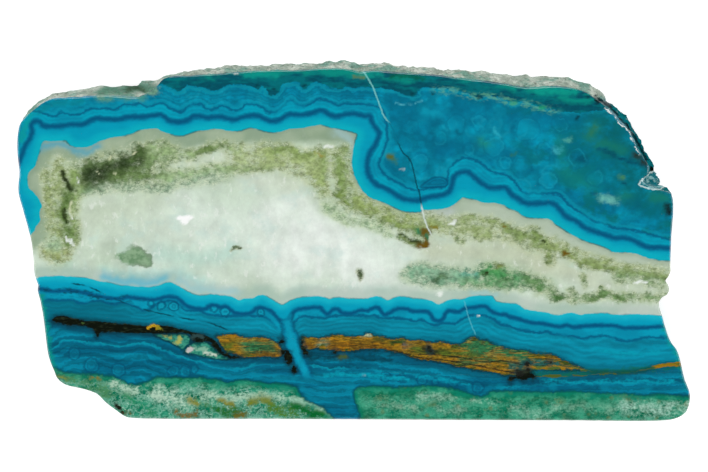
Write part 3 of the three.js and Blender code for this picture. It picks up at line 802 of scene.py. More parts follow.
# Wisps and clots, which the material breaks up into fibres.
WISPS = (
    ((158, 176, 128), 1.8, 0.65, ((11, 2.6), (15, 2.2), (19, 1.8), (23, 0.8), (27, -0.6))),
    ((104, 164, 128), 1.5, 0.65, ((9, -5), (13, -5.4), (17, -5.6), (21, -5.4), (25, -6))),
    ((150, 184, 156), 1.2, 0.6,
     ((-41, 7.4), (-38, 7.8), (-35, 7.9), (-32, 8), (-29, 7.8), (-26, 8.6), (-20, 9.4))),
    ((124, 154, 100), 2.2, 0.85,
     ((-40.5, 9.6), (-38, 10.5), (-35.5, 11), (-33, 11.5), (-30.8, 12.1), (-29.2, 12.6))),
    (MOSS, 1.6, 0.85, ((-40.2, 9.4), (-38, 10.2), (-36, 10.5), (-34.4, 11), (-33, 11.8), (-32, 12.4))),
    (DARK_MOSS, 1.6, 1.0, ((-39.2, 9.9), (-37.2, 10.3), (-35.8, 10.7), (-34.4, 11.2), (-33, 11.8))),
    (DARK_MOSS, 1.0, 0.9, ((-40.2, 9), (-39, 9.5), (-37.6, 9.7), (-36, 9.8))),
    (DARK_MOSS, 0.6, 0.8, ((-34.2, 12.2), (-32.8, 12.5), (-31.6, 12.9))),
    (MOSS, 1.1, 0.75, ((-35.2, 9.4), (-33, 9.4), (-31, 9.3), (-29.2, 9.2), (-28.5, 10))),
    ((70, 96, 48), 0.6, 0.8, ((-33.4, 12), (-32, 12.8), (-30.8, 13.4))),
    (OLIVE, 1.9, 0.75,
     ((-44.3, 10.2), (-44.5, 8), (-44.3, 6), (-44.7, 4), (-44.5, 2), (-44.2, 0), (-44.8, -2))),
    ((140, 166, 98), 1.0, 0.7, ((-42.2, 9.6), (-41.7, 7), (-42, 4.6), (-41.8, 2.2), (-42, 0))),
    (MOSS, 0.9, 0.85,
     ((-42.6, 7.4), (-43, 6.4), (-43.2, 5.4), (-43.5, 4.4), (-43.4, 3.4), (-43.1, 2.3), (-42.7, 1.1))),
    (MOSS, 0.7, 0.75, ((-42.7, 1), (-42.8, 0), (-42.6, -0.9))),
    ((74, 104, 44), 0.45, 0.8, ((-43.3, 6), (-43.7, 5), (-43.6, 3.6), (-43.2, 2.6))),
    (DARK_MOSS, 0.42, 0.95, ((-43.8, 9.9), (-43.4, 9.2), (-42.8, 8.4), (-42.4, 7.6))),
    ((150, 160, 96), 0.9, 0.7, ((-46.4, -2), (-45, -2.1), (-43.2, -2.2))),
    ((166, 200, 170), 0.9, 0.6, ((-45.6, -1), (-44.6, -1))),
    (OLIVE, 0.8, 0.6, ((-46.6, 9.4), (-46.2, 7.4), (-46, 5.6))),
    ((146, 172, 120), 1.0, 0.75,
     ((-30, 13.5), (-28.5, 13.2), (-27.3, 13.2), (-26, 12.8), (-25, 12.6), (-24, 12.8))),
    ((126, 152, 98), 0.8, 0.8,
     ((-23.6, 13), (-22.5, 13.4), (-21.5, 13.9), (-20.3, 14.2), (-19, 14), (-17.8, 13.5))),
    ((92, 118, 62), 0.5, 0.8, ((-23, 13.2), (-22.3, 13.5), (-21.6, 13.9))),
    ((150, 178, 126), 0.8, 0.7, ((-17.8, 13.5), (-17, 13.2), (-17, 12), (-16.4, 11.2))),
    ((150, 178, 128), 1.0, 0.8,
     ((-28, 9.4), (-26, 9.7), (-24.5, 10), (-22.5, 10.4), (-20.5, 10.7), (-18.5, 10.6))),
    ((126, 154, 104), 0.7, 0.8, ((-18.5, 10.6), (-16.5, 10.5), (-14.5, 10.7), (-13.5, 10.7), (-12, 11.2))),
    ((88, 112, 64), 0.4, 0.7, ((-14.2, 10.7), (-13.3, 10.7))),
    ((170, 186, 134), 1.9, 0.75, ((-16.6, 12.3), (-13.4, 12.4), (-9.4, 11.4), (-6.4, 10.6), (-4, 10.8))),
    (OLIVE, 1.6, 0.7, ((-13, 12.9), (-10, 12.6), (-8, 12.2), (-6, 12.2), (-4.4, 12.6))),
    ((124, 150, 84), 0.6, 0.8, ((-12, 13.3), (-11, 13.5), (-10, 13.7))),
    ((130, 154, 88), 0.6, 0.75, ((-9, 13), (-7.4, 12.4), (-6, 13))),
    ((120, 146, 82), 0.55, 0.8, ((-4.7, 12.8), (-4.3, 11), (-4.8, 9))),
    (OLIVE, 1.3, 0.75, ((-5.6, 10.6), (-5.4, 9), (-4.6, 7.4))),
    ((110, 138, 72), 0.8, 0.85, ((-2.2, 12), (-2, 10), (-1.8, 8.5), (-1.5, 7))),
    ((140, 164, 100), 1.2, 0.7, ((-1.4, 13.2), (-1.3, 11), (-1, 9), (-0.4, 7.4), (0.6, 6))),
    ((116, 140, 72), 0.9, 0.85,
     ((-2.5, 6.5), (-1, 5.3), (0.5, 4.7), (2, 4), (4, 3.2), (6, 2.5), (8, 2), (9.3, 1.6))),
    ((150, 170, 104), 1.1, 0.7, ((1, 5.6), (3, 4.8), (5.4, 3.9), (7.4, 3.2), (9.4, 2.8))),
    ((156, 192, 146), 0.9, 0.65, ((-4, 4.6), (-2, 3.5), (0, 2.6), (2.5, 2), (5, 1))),
    (BROWN, 0.75, 0.95, ((10.2, 1.3), (10.8, 0.9))),
    ((71, 138, 84), 0.5, 0.85, ((9.5, 1.6), (9.8, 1.2))),
    ((71, 138, 84), 0.45, 0.8, ((10.3, 0.2), (10.5, -0.1))),
    (BROWN, 0.4, 0.8, ((10.2, -0.6), (10.6, -0.6))),
    ((78, 116, 66), 0.4, 0.85, ((7, 0.8), (8.2, 0.2), (9.5, -0.4))),
    ((92, 124, 72), 0.35, 0.75, ((6.6, 0.2), (7.8, -0.4), (9, -0.9))),
    ((124, 142, 64), 0.45, 0.85, ((11.5, 2.1), (11.9, 1.9))),
    ((112, 134, 72), 0.4, 0.85, ((22.4, 2.3), (23, 1.7))),
    ((120, 140, 78), 0.4, 0.8, ((18, 2), (18.5, 1.8))),
    ((120, 140, 78), 0.4, 0.8, ((25.3, 1), (25.8, 0.8))),
    ((120, 146, 88), 0.5, 0.75, ((15.6, 0), (16.4, -0.2))),
    ((138, 160, 100), 0.7, 0.8, ((16.5, 3.2), (18, 3.5), (19, 3), (21, 2.6), (22.4, 2.2))),
    ((148, 168, 108), 0.8, 0.7, ((12, 2.6), (14, 1.6), (16, 1.4), (18, 1), (20, 0.8))),
    ((112, 136, 72), 0.9, 0.85, ((27, 1.1), (28, 0.2), (28.8, -0.8), (29, -1.6), (29.5, -3))),
    ((120, 144, 84), 0.8, 0.8, ((23.4, 1.4), (25, 0.6), (26.4, 0.8), (27.4, -0.4))),
    ((116, 138, 74), 0.6, 0.85,
     ((30, -1.3), (31, -1.5), (31.8, -2.1), (33, -2.8), (34, -3.5), (35.5, -3.7))),
    ((104, 106, 44), 0.4, 0.85, ((31.5, -2), (32.1, -2.4))),
    ((108, 132, 72), 0.65, 0.9,
     ((35.5, -3.7), (37, -4.2), (38.5, -4.4), (39.5, -4.8), (40.2, -5), (41, -4.9))),
    ((92, 116, 58), 0.55, 0.9, ((41, -4.9), (42, -5.2), (43, -5.1), (44.5, -5.4), (46.5, -5.8))),
    ((150, 170, 112), 1.0, 0.7, ((30, -0.6), (33, -1.9), (36, -3), (40, -4), (44, -4.6), (47, -5))),
    ((128, 160, 112), 0.9, 0.7, ((40, -5.8), (43, -6), (46, -6.6))),
    (GREY_GREEN, 1.0, 0.8, ((9.6, -4.2), (11, -4.6), (13, -5), (15, -5.2))),
    ((122, 168, 136), 1.0, 0.65, ((8, -5.4), (10, -6), (13, -6.2), (16, -6))),
    ((40, 70, 36), 0.5, 0.9, ((12.1, -6.1), (12.6, -6.1))),
    ((70, 104, 62), 0.4, 0.85, ((13, -5.5), (13.7, -5.5))),
    ((92, 168, 150), 0.7, 0.75, ((16.9, -5.2), (18.2, -5.2))),
    ((64, 96, 52), 0.45, 0.85, ((19.3, -5), (20, -5))),
    (LEAF, 1.0, 0.9, ((20.2, -4.6), (21.4, -4.8), (22.6, -5))),
    (LEAF, 0.7, 0.7, ((20.6, -5.8), (22.6, -5.8), (24, -5.6))),
    ((118, 128, 60), 0.4, 0.8, ((21.4, -3.9), (22.2, -3.9))),
    ((48, 92, 44), 0.55, 0.9, ((22.6, -6.1), (23.5, -6.2))),
    ((104, 152, 104), 0.9, 0.7, ((17, -6.4), (20, -6.6), (23, -6.8), (25, -6.8))),
    ((88, 130, 76), 0.9, 0.85, ((25.8, -5.6), (26.8, -6.4), (27.6, -7.4))),
    ((96, 140, 86), 1.0, 0.8, ((28, -6.2), (29, -7.2), (30, -8.4))),
    ((76, 116, 62), 0.5, 0.85, ((30, -8.5), (31, -8.8), (32, -8.9))),
    ((84, 122, 66), 0.5, 0.85, ((32.3, -7.7), (33, -7.9))),
    ((112, 142, 84), 0.6, 0.8, ((34.3, -5.4), (34.7, -6.5))),
    ((92, 128, 72), 0.5, 0.85, ((37.3, -7.6), (38, -8.2))),
    ((118, 152, 100), 0.8, 0.8,
     ((33.5, -9), (36, -8.6), (38, -8.4), (40, -8.7), (41.5, -8.6), (44, -8.7), (47, -8.6))),
    ((86, 120, 66), 0.4, 0.75, ((36, -8.7), (38.4, -8.4), (40.4, -8.8))),
    ((70, 90, 56), 0.3, 0.85, ((-18.4, -1.5), (-17.6, -1.3), (-17, -1.3))),
    ((64, 84, 48), 0.42, 0.95, ((0.6, -4.6), (0.9, -5.1), (1.1, -5.6))),
)

# A leaf of green mineral that the sawn face cuts across.
GREEN_LEAF = (
    (-35.7, -2.6), (-34.5, -1.8), (-33, -1.1), (-31.7, -1.7), (-30.5, -2.7), (-30.6, -4), (-32.2, -3.8),
    (-33.5, -3.7), (-34.8, -3.3),
)

# Crisp bits over the moss: dark veins and brown twig-like grains, then white painted glints where open
# crystals catch the light.
TWIG = (104, 80, 18)
DARK_VEIN = (42, 54, 26)
CRYSTAL_GLINT = (204, 212, 172)
FLECKS = (
    (DARK_VEIN, 0.3, 0.9, ((-43.9, 9.9), (-43.5, 9.2), (-42.9, 8.5), (-42.5, 7.8))),
    (DARK_VEIN, 0.4, 0.8, ((-43.5, 4.6), (-43.4, 3.6), (-43.1, 2.6))),
    (DARK_VEIN, 0.3, 0.8, ((7, 0.75), (8.2, 0.2), (9.6, -0.45))),
    ((120, 140, 84), 0.25, 0.75, ((6.9, 0.3), (8, -0.2), (9.4, -0.8))),
    (TWIG, 0.45, 0.95, ((10.4, 1.3), (10.7, 0.6), (10.9, -0.2))),
    (TWIG, 0.4, 0.9, ((9.7, -0.9), (10.4, -1), (11, -0.7))),
    ((30, 120, 84), 0.32, 0.9, ((9.6, 1.7), (9.9, 1.3))),
    ((30, 120, 84), 0.28, 0.85, ((10.9, 0.4), (11.2, 0.1))),
    ((124, 120, 40), 0.35, 0.85, ((11.6, 2), (12.2, 1.7))),
    (TWIG, 0.35, 0.85, ((31.4, -2), (32, -2.2))),
    ((116, 108, 44), 0.32, 0.75, ((22.3, 2.3), (22.9, 1.8))),
    (DARK_VEIN, 0.26, 0.8, ((28.4, -0.2), (28.9, -0.9))),
    (DARK_VEIN, 0.3, 0.8, ((19.4, -5), (20, -5))),
    ((168, 152, 70), 0.5, 0.5, ((-5.6, 12.9), (-4.6, 12.6))),
    # From here down: painted glints, white and pale, where open crystals catch the light.
    (CRYSTAL_GLINT, 0.22, 0.75, ((-42.4, 5.6), (-42.6, 4.6), (-42.3, 3.6))),
    (CRYSTAL_GLINT, 0.24, 0.75, ((-38.4, 10.2), (-38.2, 10))),
    (CRYSTAL_GLINT, 0.24, 0.75, ((-35.9, 9.9), (-35.7, 9.8))),
    (CRYSTAL_GLINT, 0.24, 0.7, ((-36.8, 12.2), (-36.4, 12.4))),
    (CRYSTAL_GLINT, 0.24, 0.7, ((-33.4, 12.9), (-33, 13.1))),
    ((252, 253, 252), 0.5, 1.0, ((-26, 3.2), (-25.2, 3.3), (-24.5, 3.4))),
    ((250, 252, 250), 0.35, 0.9, ((-25.7, 2.8), (-25.1, 2.8))),
    (WHITE, 0.3, 0.9, ((14.4, 2.5), (15, 2.5))),
    (WHITE, 0.4, 0.9, ((12.6, -8.2), (13.1, -8.2))),
    (WHITE, 0.28, 0.85, ((42.2, -6.5), (43, -6.4), (44, -6.3))),
    (WHITE, 0.2, 0.85, ((-43.1, 0.5), (-42.8, -0.1))),
    (WHITE, 0.2, 0.85, ((-42.5, 0), (-42.1, -1))),
    (WHITE, 0.25, 0.8, ((-41.5, 9.1), (-41.3, 8.7))),
    (WHITE, 0.2, 0.8, ((-42.4, 3.7), (-42.2, 3.3))),
    (WHITE, 0.3, 0.8, ((-4.4, 14), (-4, 14))),
    (WHITE, 0.3, 0.8, ((-3.5, 14), (-3.1, 14))),
    ((206, 214, 196), 0.4, 0.42, ((-3.5, 12), (-3.4, 10.6), (-3.4, 9.5))),
    (WHITE, 0.9, 0.45, ((-15, 2.8), (-13.4, 2.2))),
    (WHITE, 0.3, 0.6, ((-19.2, 0.2), (-19.4, -0.8))),
)

STROKE_REACH = 2.6
flat = np.column_stack([lean, np.zeros(len(lean))])
ragged = lean + 0.26 * np.column_stack([lumps(flat + 3.0, 1.1), lumps(flat + 9.0, 1.1)])
ragged += 0.17 * np.column_stack([lumps(flat + 15.0, 0.5), lumps(flat + 21.0, 0.5)])


def painted(strokes):
    """Soft strokes laid one over another: a stroke covers by its strength times a bell curve of the
    distance from its path, which lumps push about so that no edge is smooth. Returns the colour at
    each vertex and how far it covers."""
    colours = np.zeros((len(lean), 3))
    cover = np.zeros(len(lean))
    for shade_of, width, strength, path in strokes:
        reach = STROKE_REACH * width
        low = np.min(path, axis=0) - reach
        high = np.max(path, axis=0) + reach
        near = np.flatnonzero(np.all((ragged > low) & (ragged < high), axis=1))
        density = strength * np.exp(-(side_distance(ragged[near], path) / width) ** 2)
        cover[near] += density * (1.0 - cover[near])
        density = density[:, None]
        colours[near] = colours[near] * (1.0 - density) + density * np.array(tint(*shade_of)[:3])
    return colours / np.maximum(cover, 1e-6)[:, None], cover


def keep_paint(name, strokes):
    """Stores painted strokes on the slab's vertices, with their cover as the alpha."""
    colours, cover = painted(strokes)
    layer = slab_mesh.attributes.new(name, "FLOAT_COLOR", "POINT")
    layer.data.foreach_set("color", np.column_stack([colours, cover]).astype(np.float32).ravel())


keep_paint("chalcedony_zones", BODY_ZONES)
keep_paint("contact_haze", CONTACT_HAZE)
keep_paint("chalcedony_wisps", WISPS)
keep_paint("chalcedony_flecks", FLECKS)
keep("green_leaf", -side_distance(ragged, GREEN_LEAF, True))

milk = over((182, 203, 178), (203, 219, 202), rise(cloud(7.0, 5.0, 61.0, 5.0), 0.36, 0.64))
zone_colour, zone_cover = read_colour("chalcedony_zones")
milk = over(milk, zone_colour, zone_cover)
clouded = cloud(2.2, 2.6, 67.0, 7.0, 0.66) - 0.5
milk = shade(milk, clouded * 0.58)
milk = over(milk, (178, 214, 208), rise(cloud(3.6, 3.0, 69.0, 5.0), 0.54, 0.68) * 0.25)
milk = over(milk, (238, 242, 237), rise(cloud(0.9, 1.5, 70.0, 6.0, 0.7), 0.56, 0.7) * 0.4)
inner = contact + (cloud(2.5, 1.5, 71.0) - 0.5) * 0.9
rim = over((128, 152, 124), (156, 174, 146), rise(cloud(9.0, 9.0, 73.0), 0.4, 0.6))
rim = over(rim, (172, 188, 168), rise(across_slab, 11.0, 20.0))
milk = over(milk, rim, rise(inner, -3.0, -1.5) * 0.85)
milk = over(milk, (134, 158, 136), rise(inner, -0.8, 0.0) * 0.5)
outer_rim = under_contact + (cloud(2.5, 1.5, 77.0) - 0.5) * 0.9
rim = over((162, 188, 174), (184, 198, 188), rise(cloud(9.0, 9.0, 79.0), 0.4, 0.6))
milk = over(milk, rim, rise(outer_rim, -2.3, -0.8) * 0.8)
haze_colour, haze_cover = read_colour("contact_haze")
milk = over(milk, haze_colour, haze_cover)

# Moss: a soft stain, and over it dark fibres and grains with light between them.
wisp_colour, wisp_cover = read_colour("chalcedony_wisps")
fibre = cloud(0.75, 0.6, 83.0, 6.0, 0.62) - 0.5
clot = cloud(1.5, 1.2, 89.0, 5.0, 0.6) - 0.5
patchy = rise(cloud(1.1, 1.0, 99.0, 4.0), 0.42, 0.6)
stain = over(over(wisp_colour, (206, 214, 174), 0.5), (176, 196, 170), patchy * 0.5)
milk = over(milk, stain, rise(wisp_cover, 0.02, 0.62) * 0.72)
torn = wisp_cover + (fibre * 1.5 + clot * 2.4)
in_wisp = rise(wisp_cover, 0.04, 0.34)
fibre_colour = over(wisp_colour, (96, 120, 88), patchy * 0.35)
fibre_colour = shade(fibre_colour, fibre * -1.5 - 0.2)
milk = over(milk, fibre_colour, rise(torn, 0.26, 1.3) * in_wisp * 0.9)
second_fibre = cloud(0.8, 0.3, 93.0, 4.0, 0.7) - 0.5
threads = rise(abs(second_fibre), 0.05, 0.01)
threads *= rise(wisp_cover + clot, 0.22, 0.6)
milk = over(milk, shade(wisp_colour, -0.5), threads * 0.6)
# Painted glints: a fine pale sparkle over the moss.
sparkle = rise(cloud(0.42, 0.36, 97.0, 4.0, 0.7), 0.57, 0.68) * in_wisp
milk = over(milk, (222, 229, 200), sparkle * 0.34)
core = rise(wisp_cover + clot * 0.8, 0.64, 0.98)
milk = over(milk, shade(wisp_colour, fibre * -1.6), core * 0.85)
leaf = read("green_leaf") + fibre * 0.9
leaf_colour = over((88, 132, 88), (130, 164, 126), rise(clot, -0.1, 0.1))
milk = over(milk, leaf_colour, rise(leaf, -0.3, 0.4) * 0.9)
leaf_edge = rise(abs(leaf), 0.4, 0.05) * rise(across_slab, -34.6, -32.0)
milk = over(milk, (92, 124, 88), leaf_edge * 0.7)
# The flecks: real dark veins and twig-like grains, and painted white glints.
fleck_colour, fleck_cover = read_colour("chalcedony_flecks")
fleck_share = fleck_cover + fibre * rise(fleck_cover, 0.02, 0.3)
milk = over(milk, fleck_colour, rise(fleck_share, 0.12, 0.95))

colour = over(milk, upper, above_contact)
colour = over(colour, (24, 104, 108), skin * 0.7)
colour = over(colour, lower, below_contact)
colour = over(colour, (40, 124, 132), under_skin * 0.55)

# The ore seam: a thin black layer of manganese and iron oxide in the lower crust, which the crust grew
# over. It runs in from the left, breaks up into rusty limonite, and thins out towards the right. Where
# it is broken, a cyan vein has healed the gap.
SEAM_TOP = (
    (-45.3, -12.1), (-45, -11.7), (-44.5, -11.4), (-43.5, -11.4), (-42.5, -11.6), (-41.5, -11.9),
    (-40.5, -12.1), (-39, -12.2), (-37.5, -12.35), (-36, -12.5), (-34.5, -12.6), (-33, -12.8),
    (-31.5, -12.95), (-29, -12.8), (-28, -12.85), (-27.3, -13), (-26.5, -13.3), (-25.5, -13.5),
    (-24.4, -13.8), (-23.5, -14), (-22.5, -14.2), (-21.6, -14.6), (-21, -14.9), (-20.6, -15.4),
    (-20.2, -15.9), (-19.8, -16.5), (-19.3, -17), (-18.5, -17.3), (-17.5, -17.5), (-16.8, -17.7),
)
SEAM_BOTTOM = (
    (-45.4, -12.2), (-45, -12.4), (-44, -12.6), (-43, -12.9), (-42, -12.9), (-41, -12.95), (-40, -13.1),
    (-39.2, -13.4), (-38.6, -14.2), (-38.2, -14.3), (-37.9, -13.9), (-36.5, -13.9), (-35, -14),
    (-33.5, -14), (-32, -14.15), (-29, -14.1), (-27, -14.1), (-25.3, -14.05), (-24.6, -14.3),
    (-24.3, -14.9), (-24, -15.3), (-23, -15.3), (-22, -15.2), (-21.5, -15.5), (-21.1, -16),
    (-20.5, -16.6), (-19.8, -17.2), (-19, -17.7), (-18, -17.9), (-16.9, -17.8),
)
RUST_CLOT = (
    (-20.8, -14.4), (-19.5, -14.3), (-17.8, -14.25), (-16, -14.6), (-14.5, -14.65), (-13, -14.75),
    (-12.3, -15), (-11.5, -15.4), (-11, -15.9), (-10.7, -16.6), (-10.7, -17.3), (-11, -17.7),
    (-12.5, -17.75), (-14, -17.7), (-15.5, -17.8), (-16.8, -17.7), (-17.3, -17.4), (-18.3, -17.1),
    (-19.2, -16.9), (-19.6, -16.4), (-20, -15.7), (-20.4, -15),
)
RUST_BAND = (
    (-7.8, -14.5), (-7, -14.6), (-5, -14.65), (-4, -14.5), (-3, -14.3), (-2.3, -14.2), (-1.5, -14.4),
    (0.5, -14.5), (1.3, -14.4), (1.9, -14.1), (2.6, -14.1), (3.4, -14.4), (4.4, -14.5), (5.4, -14.8),
    (6.4, -14.9), (7.2, -14.7), (8, -15), (9, -15.1), (10, -15), (11, -15.3), (12, -15.4), (13, -15.2),
    (14, -15.5), (15, -15.7), (16, -15.6), (16.8, -15.1), (17.6, -14.7), (18.3, -14.6), (19, -15),
    (20, -15.1), (20.8, -15.6), (22, -16), (23, -16.2), (24, -16.5), (26, -16.7), (27, -17), (29, -17.1),
    (30, -17.3), (31, -17.8), (32, -18.3), (33.2, -18.8), (34.5, -19.4), (33, -19.6), (30, -19.5),
    (27.5, -19.5), (26.4, -19.8), (25.3, -20.8), (24.5, -20.6), (22.5, -20.4), (21.5, -20.1), (20, -19.9),
    (18.5, -19.7), (17, -19.3), (15, -18.9), (13, -18.4), (11, -18.1), (10, -18), (9, -17.8), (8, -17.4),
    (7.2, -17.1), (6, -16.95), (5, -16.7), (4.2, -16.4), (2, -16.5), (0.8, -16.6), (-0.5, -16.8),
    (-2, -16.7), (-4, -16.6), (-5, -16.5), (-5.6, -16.2), (-6.2, -16.5), (-7, -16.6), (-7.6, -16.4),
    (-7.9, -15.5),
)
BLACK_BLOT = (
    (23.4, -20.9), (24.3, -20.5), (24.5, -19.7), (25.1, -19.4), (25.7, -19.5), (25.9, -18.9),
    (25.6, -18.5), (26.1, -18.3), (26.5, -18.6), (26.3, -19.2), (26.4, -19.8), (27, -20.4), (27.6, -20.8),
    (26.9, -21.2), (26.1, -21), (25.5, -21.4), (24.8, -20.9), (24, -21.1), (23.5, -21.4),
)
VEIN_LEFT = (
    (-11.6, -9.2), (-11, -11), (-10.9, -12.5), (-10.7, -13.5), (-10.6, -14.5), (-10.5, -15.3),
    (-10.2, -16.3), (-9.7, -17.2), (-9.2, -18.2), (-8.6, -19.2), (-8.2, -20), (-7.8, -20.8),
    (-7.2, -22.5),
)
VEIN_RIGHT = (
    (-9, -9.2), (-9.2, -11), (-9.1, -12.5), (-8.9, -13.3), (-8.5, -14.2), (-8.3, -15), (-8, -16),
    (-7.6, -17), (-7.2, -18), (-6.8, -19), (-6.4, -20), (-6.1, -20.8), (-5.2, -22.5),
)
BLACK_GRAINS = (
    ((-9.9, -17.7), 0.62), ((-9.5, -18.2), 0.4), ((-8.9, -19.4), 0.42), ((-10.8, -15.1), 0.32),
    ((-10.6, -16.9), 0.36), ((-7.5, -16.3), 0.4), ((-7.1, -16.9), 0.36), ((-7.8, -15.3), 0.26),
    ((23.5, -21), 0.34), ((26.2, -18.5), 0.34), ((11.4, -16.4), 0.36), ((-2.8, -16.9), 0.25),
    ((29.4, -18.4), 0.24), ((-38.4, -14.1), 0.3),
)
BLACK = (12, 20, 10)
RUST = (136, 104, 14)
DEEP_RUST = (110, 76, 4)
OLIVE_TAN = (78, 96, 24)
BAND_GREEN = (38, 106, 64)
DARK_TEAL = (1, 62, 78)
CYAN = (2, 154, 176)
ORE_MARKS = (
    (DARK_TEAL, 0.8, 0.6, ((-6.8, -17.5), (-4, -17.6), (-1, -17.7), (2, -17.6), (5, -17.9))),
    (CYAN, 0.4, 0.75, ((-4, -20.3), (-2, -20.2), (0, -20.2), (3, -20.4), (6, -20.8), (8, -21))),
    (CYAN, 0.45, 0.5, ((10, -20.6), (14, -21), (17, -21.6))),
    (CYAN, 0.5, 0.45, ((29, -21.3), (34, -21.4), (40, -21.3), (47, -21.2))),
    (CYAN, 0.6, 0.5, ((36, -16.6), (40, -17), (45, -16.8))),
    ((4, 140, 132), 0.7, 0.8, ((-47, -9), (-46.4, -12), (-46, -15), (-45.6, -17.6), (-45.2, -19))),
    ((8, 150, 150), 0.7, 0.6, ((46.6, -13), (47.8, -15.6), (48.8, -18.4), (49.8, -21.6))),
    (OLIVE_TAN, 0.3, 0.8, ((-2.1, -17.7), (-1.2, -17.7))),
    ((10, 100, 84), 0.5, 0.75,
     ((27, -20.2), (31, -20.2), (35, -19.9), (40, -19.7), (45, -19.3), (49, -18.9))),
    (BLACK, 0.35, 0.8, ((23.3, -21), (23.6, -21))),
    (BLACK, 0.2, 0.8, ((25.8, -18.6), (26.3, -18.4), (26.7, -18.7))),
    ((72, 150, 130), 0.75, 0.85, ((27.6, -17.7), (28.4, -17.8))),
    ((120, 172, 150), 0.4, 0.7, ((29.8, -18.3), (30.3, -18.4))),
    (BLACK, 0.18, 0.75, ((29.2, -17.8), (29.5, -18.5), (29.6, -19.2))),
    # Two tiny painted glints, white.
    (WHITE, 0.13, 0.7, ((1.4, -20.4), (1.6, -20.4))),
    (WHITE, 0.16, 0.75, ((18.65, -11.5), (18.75, -11.5))),
)
# Two small pockets under the black layer, filled with green and yellow grains.
POCKET = (
    (-30, -14.2), (-28.4, -14.2), (-27, -14.15), (-25.4, -14.15), (-24.5, -14.7), (-24.6, -15.5),
    (-25.2, -16.1), (-25.7, -16.6), (-26.4, -16.1), (-27.4, -15.5), (-28.8, -14.9),
)
POCKET_BEHIND = (
    (-25.4, -17), (-25, -16.1), (-24, -15.5), (-22.6, -15.3), (-21.8, -15.5), (-21.2, -16.1),
    (-20.4, -16.8), (-19.4, -17.4), (-18.4, -17.9), (-20.4, -17.95), (-22.4, -17.6), (-24, -17.3),
)
POCKET_MARKS = (
    ((164, 170, 92), 0.35, 0.85, ((-26.4, -15.6), (-26, -14.8))),
    ((150, 160, 88), 0.3, 0.7, ((-28.4, -14.5), (-27.4, -14.7))),
    ((190, 186, 184), 0.35, 0.85, ((-24.9, -16.6), (-24.5, -16.3))),
    ((190, 206, 190), 0.25, 0.8, ((-22.4, -16.8), (-21.4, -17.1), (-20.6, -17.4))),
    ((120, 176, 150), 0.35, 0.7, ((-23.6, -16.2), (-22.4, -16.2))),
)
SEAM_SPOTS = (
    ((186, 146, 30), 0.28, 0.95, ((-30.9, -13.25), (-30.2, -12.95), (-29.4, -13.1))),
    ((120, 120, 30), 0.25, 0.8, ((-29.4, -13.1), (-28.9, -13.5))),
    ((44, 70, 70), 0.45, 0.85, ((-24, -14.5), (-22.9, -14.6))),
    ((60, 84, 40), 0.2, 0.8, ((-40.6, -12.4), (-40.4, -12.4))),
)
# Cracks along the rusty part, filled with black.
LONG_CRACK = (
    (5.6, -16.7), (7.2, -16.95), (9, -17.5), (12, -17.95), (15, -18.3), (18, -18.8), (21, -19.4),
    (24.4, -20),
)
SHORT_CRACK = (
    (10, -17.2), (12.6, -17.3), (15, -17.6), (17.5, -18), (20, -18.4), (22.4, -18.2), (25, -18.7),
)
RUST_MARKS = (
    (OLIVE_TAN, 0.9, 0.85, ((-19.5, -15.6), (-18.4, -16))),
    (RUST, 0.55, 0.9, ((-20, -14.9), (-18, -14.7), (-15.5, -15), (-13, -15.2), (-11.6, -15.9))),
    (RUST, 0.7, 0.85, ((-17.4, -16.4), (-16.6, -16.7))),
    (BAND_GREEN, 1.0, 0.9, ((-15.8, -15.9), (-14.2, -16.3), (-12.7, -16.3))),
    (DEEP_RUST, 0.45, 0.9, ((-14.4, -17.3), (-13, -17.2), (-11.8, -17.2))),
    (DEEP_RUST, 0.6, 0.9, ((-7, -15.7), (-6, -15.9))),
    (RUST, 0.5, 0.85, ((-6.8, -15), (-5, -15.1), (-3, -14.9), (-1, -15))),
    ((90, 122, 96), 0.5, 0.8, ((-5, -15.6), (-4.1, -15.6))),
    (DEEP_RUST, 0.6, 0.9, ((-3.2, -16), (-1.8, -16), (0, -16))),
    (RUST, 0.6, 0.85, ((0, -15.2), (2, -15.2), (4.6, -15.6))),
    ((170, 190, 160), 0.3, 0.8, ((1.7, -14.35), (2.4, -14.3))),
    ((60, 70, 20), 0.4, 0.8, ((3.2, -15), (4, -15))),
    (DEEP_RUST, 0.5, 0.85, ((1.4, -16.1), (3.8, -16.1), (5.4, -16.3))),
    ((92, 84, 84), 0.5, 0.75, ((7.8, -15.9), (8.7, -15.9))),
    (RUST, 0.4, 0.85, ((6.4, -16.4), (8, -16.8), (10, -17.4), (12, -17.7))),
    (OLIVE_TAN, 0.8, 0.8, ((9, -16.4), (12, -16.6), (15, -16.9), (18, -17.2))),
    (BLACK, 0.45, 0.9, ((10.5, -16.3), (11.3, -16.4), (12.2, -16.6))),
    (RUST, 0.32, 0.9, ((13, -17.9), (14.4, -18.1), (15.6, -18.2))),
    (RUST, 0.35, 0.85, ((8.6, -15.5), (11, -15.7), (14, -15.9))),
    (BAND_GREEN, 1.1, 0.9, ((17.4, -15.8), (19.4, -16.4), (22, -16.9), (25, -17.4))),
    (RUST, 0.38, 0.9, ((18.8, -18.8), (20.4, -19.1), (22.2, -19.5))),
    (RUST, 0.34, 0.9, ((21.8, -17.7), (23.2, -18), (24.6, -18.4))),
    ((70, 96, 50), 0.5, 0.8, ((16, -18.3), (18, -18.4), (20, -18.2))),
    ((30, 92, 84), 0.6, 0.75, ((24, -19), (27, -18.4), (30, -18.7))),
)
RUST_TAIL = (
    (25.6, -19), (27, -19.15), (29, -19.2), (31.5, -19.25), (33.5, -19.35), (36, -19.8), (40, -19.9),
    (43, -19.7), (45.2, -19.1), (47, -18.8), (49.5, -18.6), (52, -18.4),
)
RUST_TAIL_BELOW = (
    (25, -20.4), (28, -20.45), (31, -20.5), (34, -20.5), (36.5, -20.2), (39, -20.1),
)
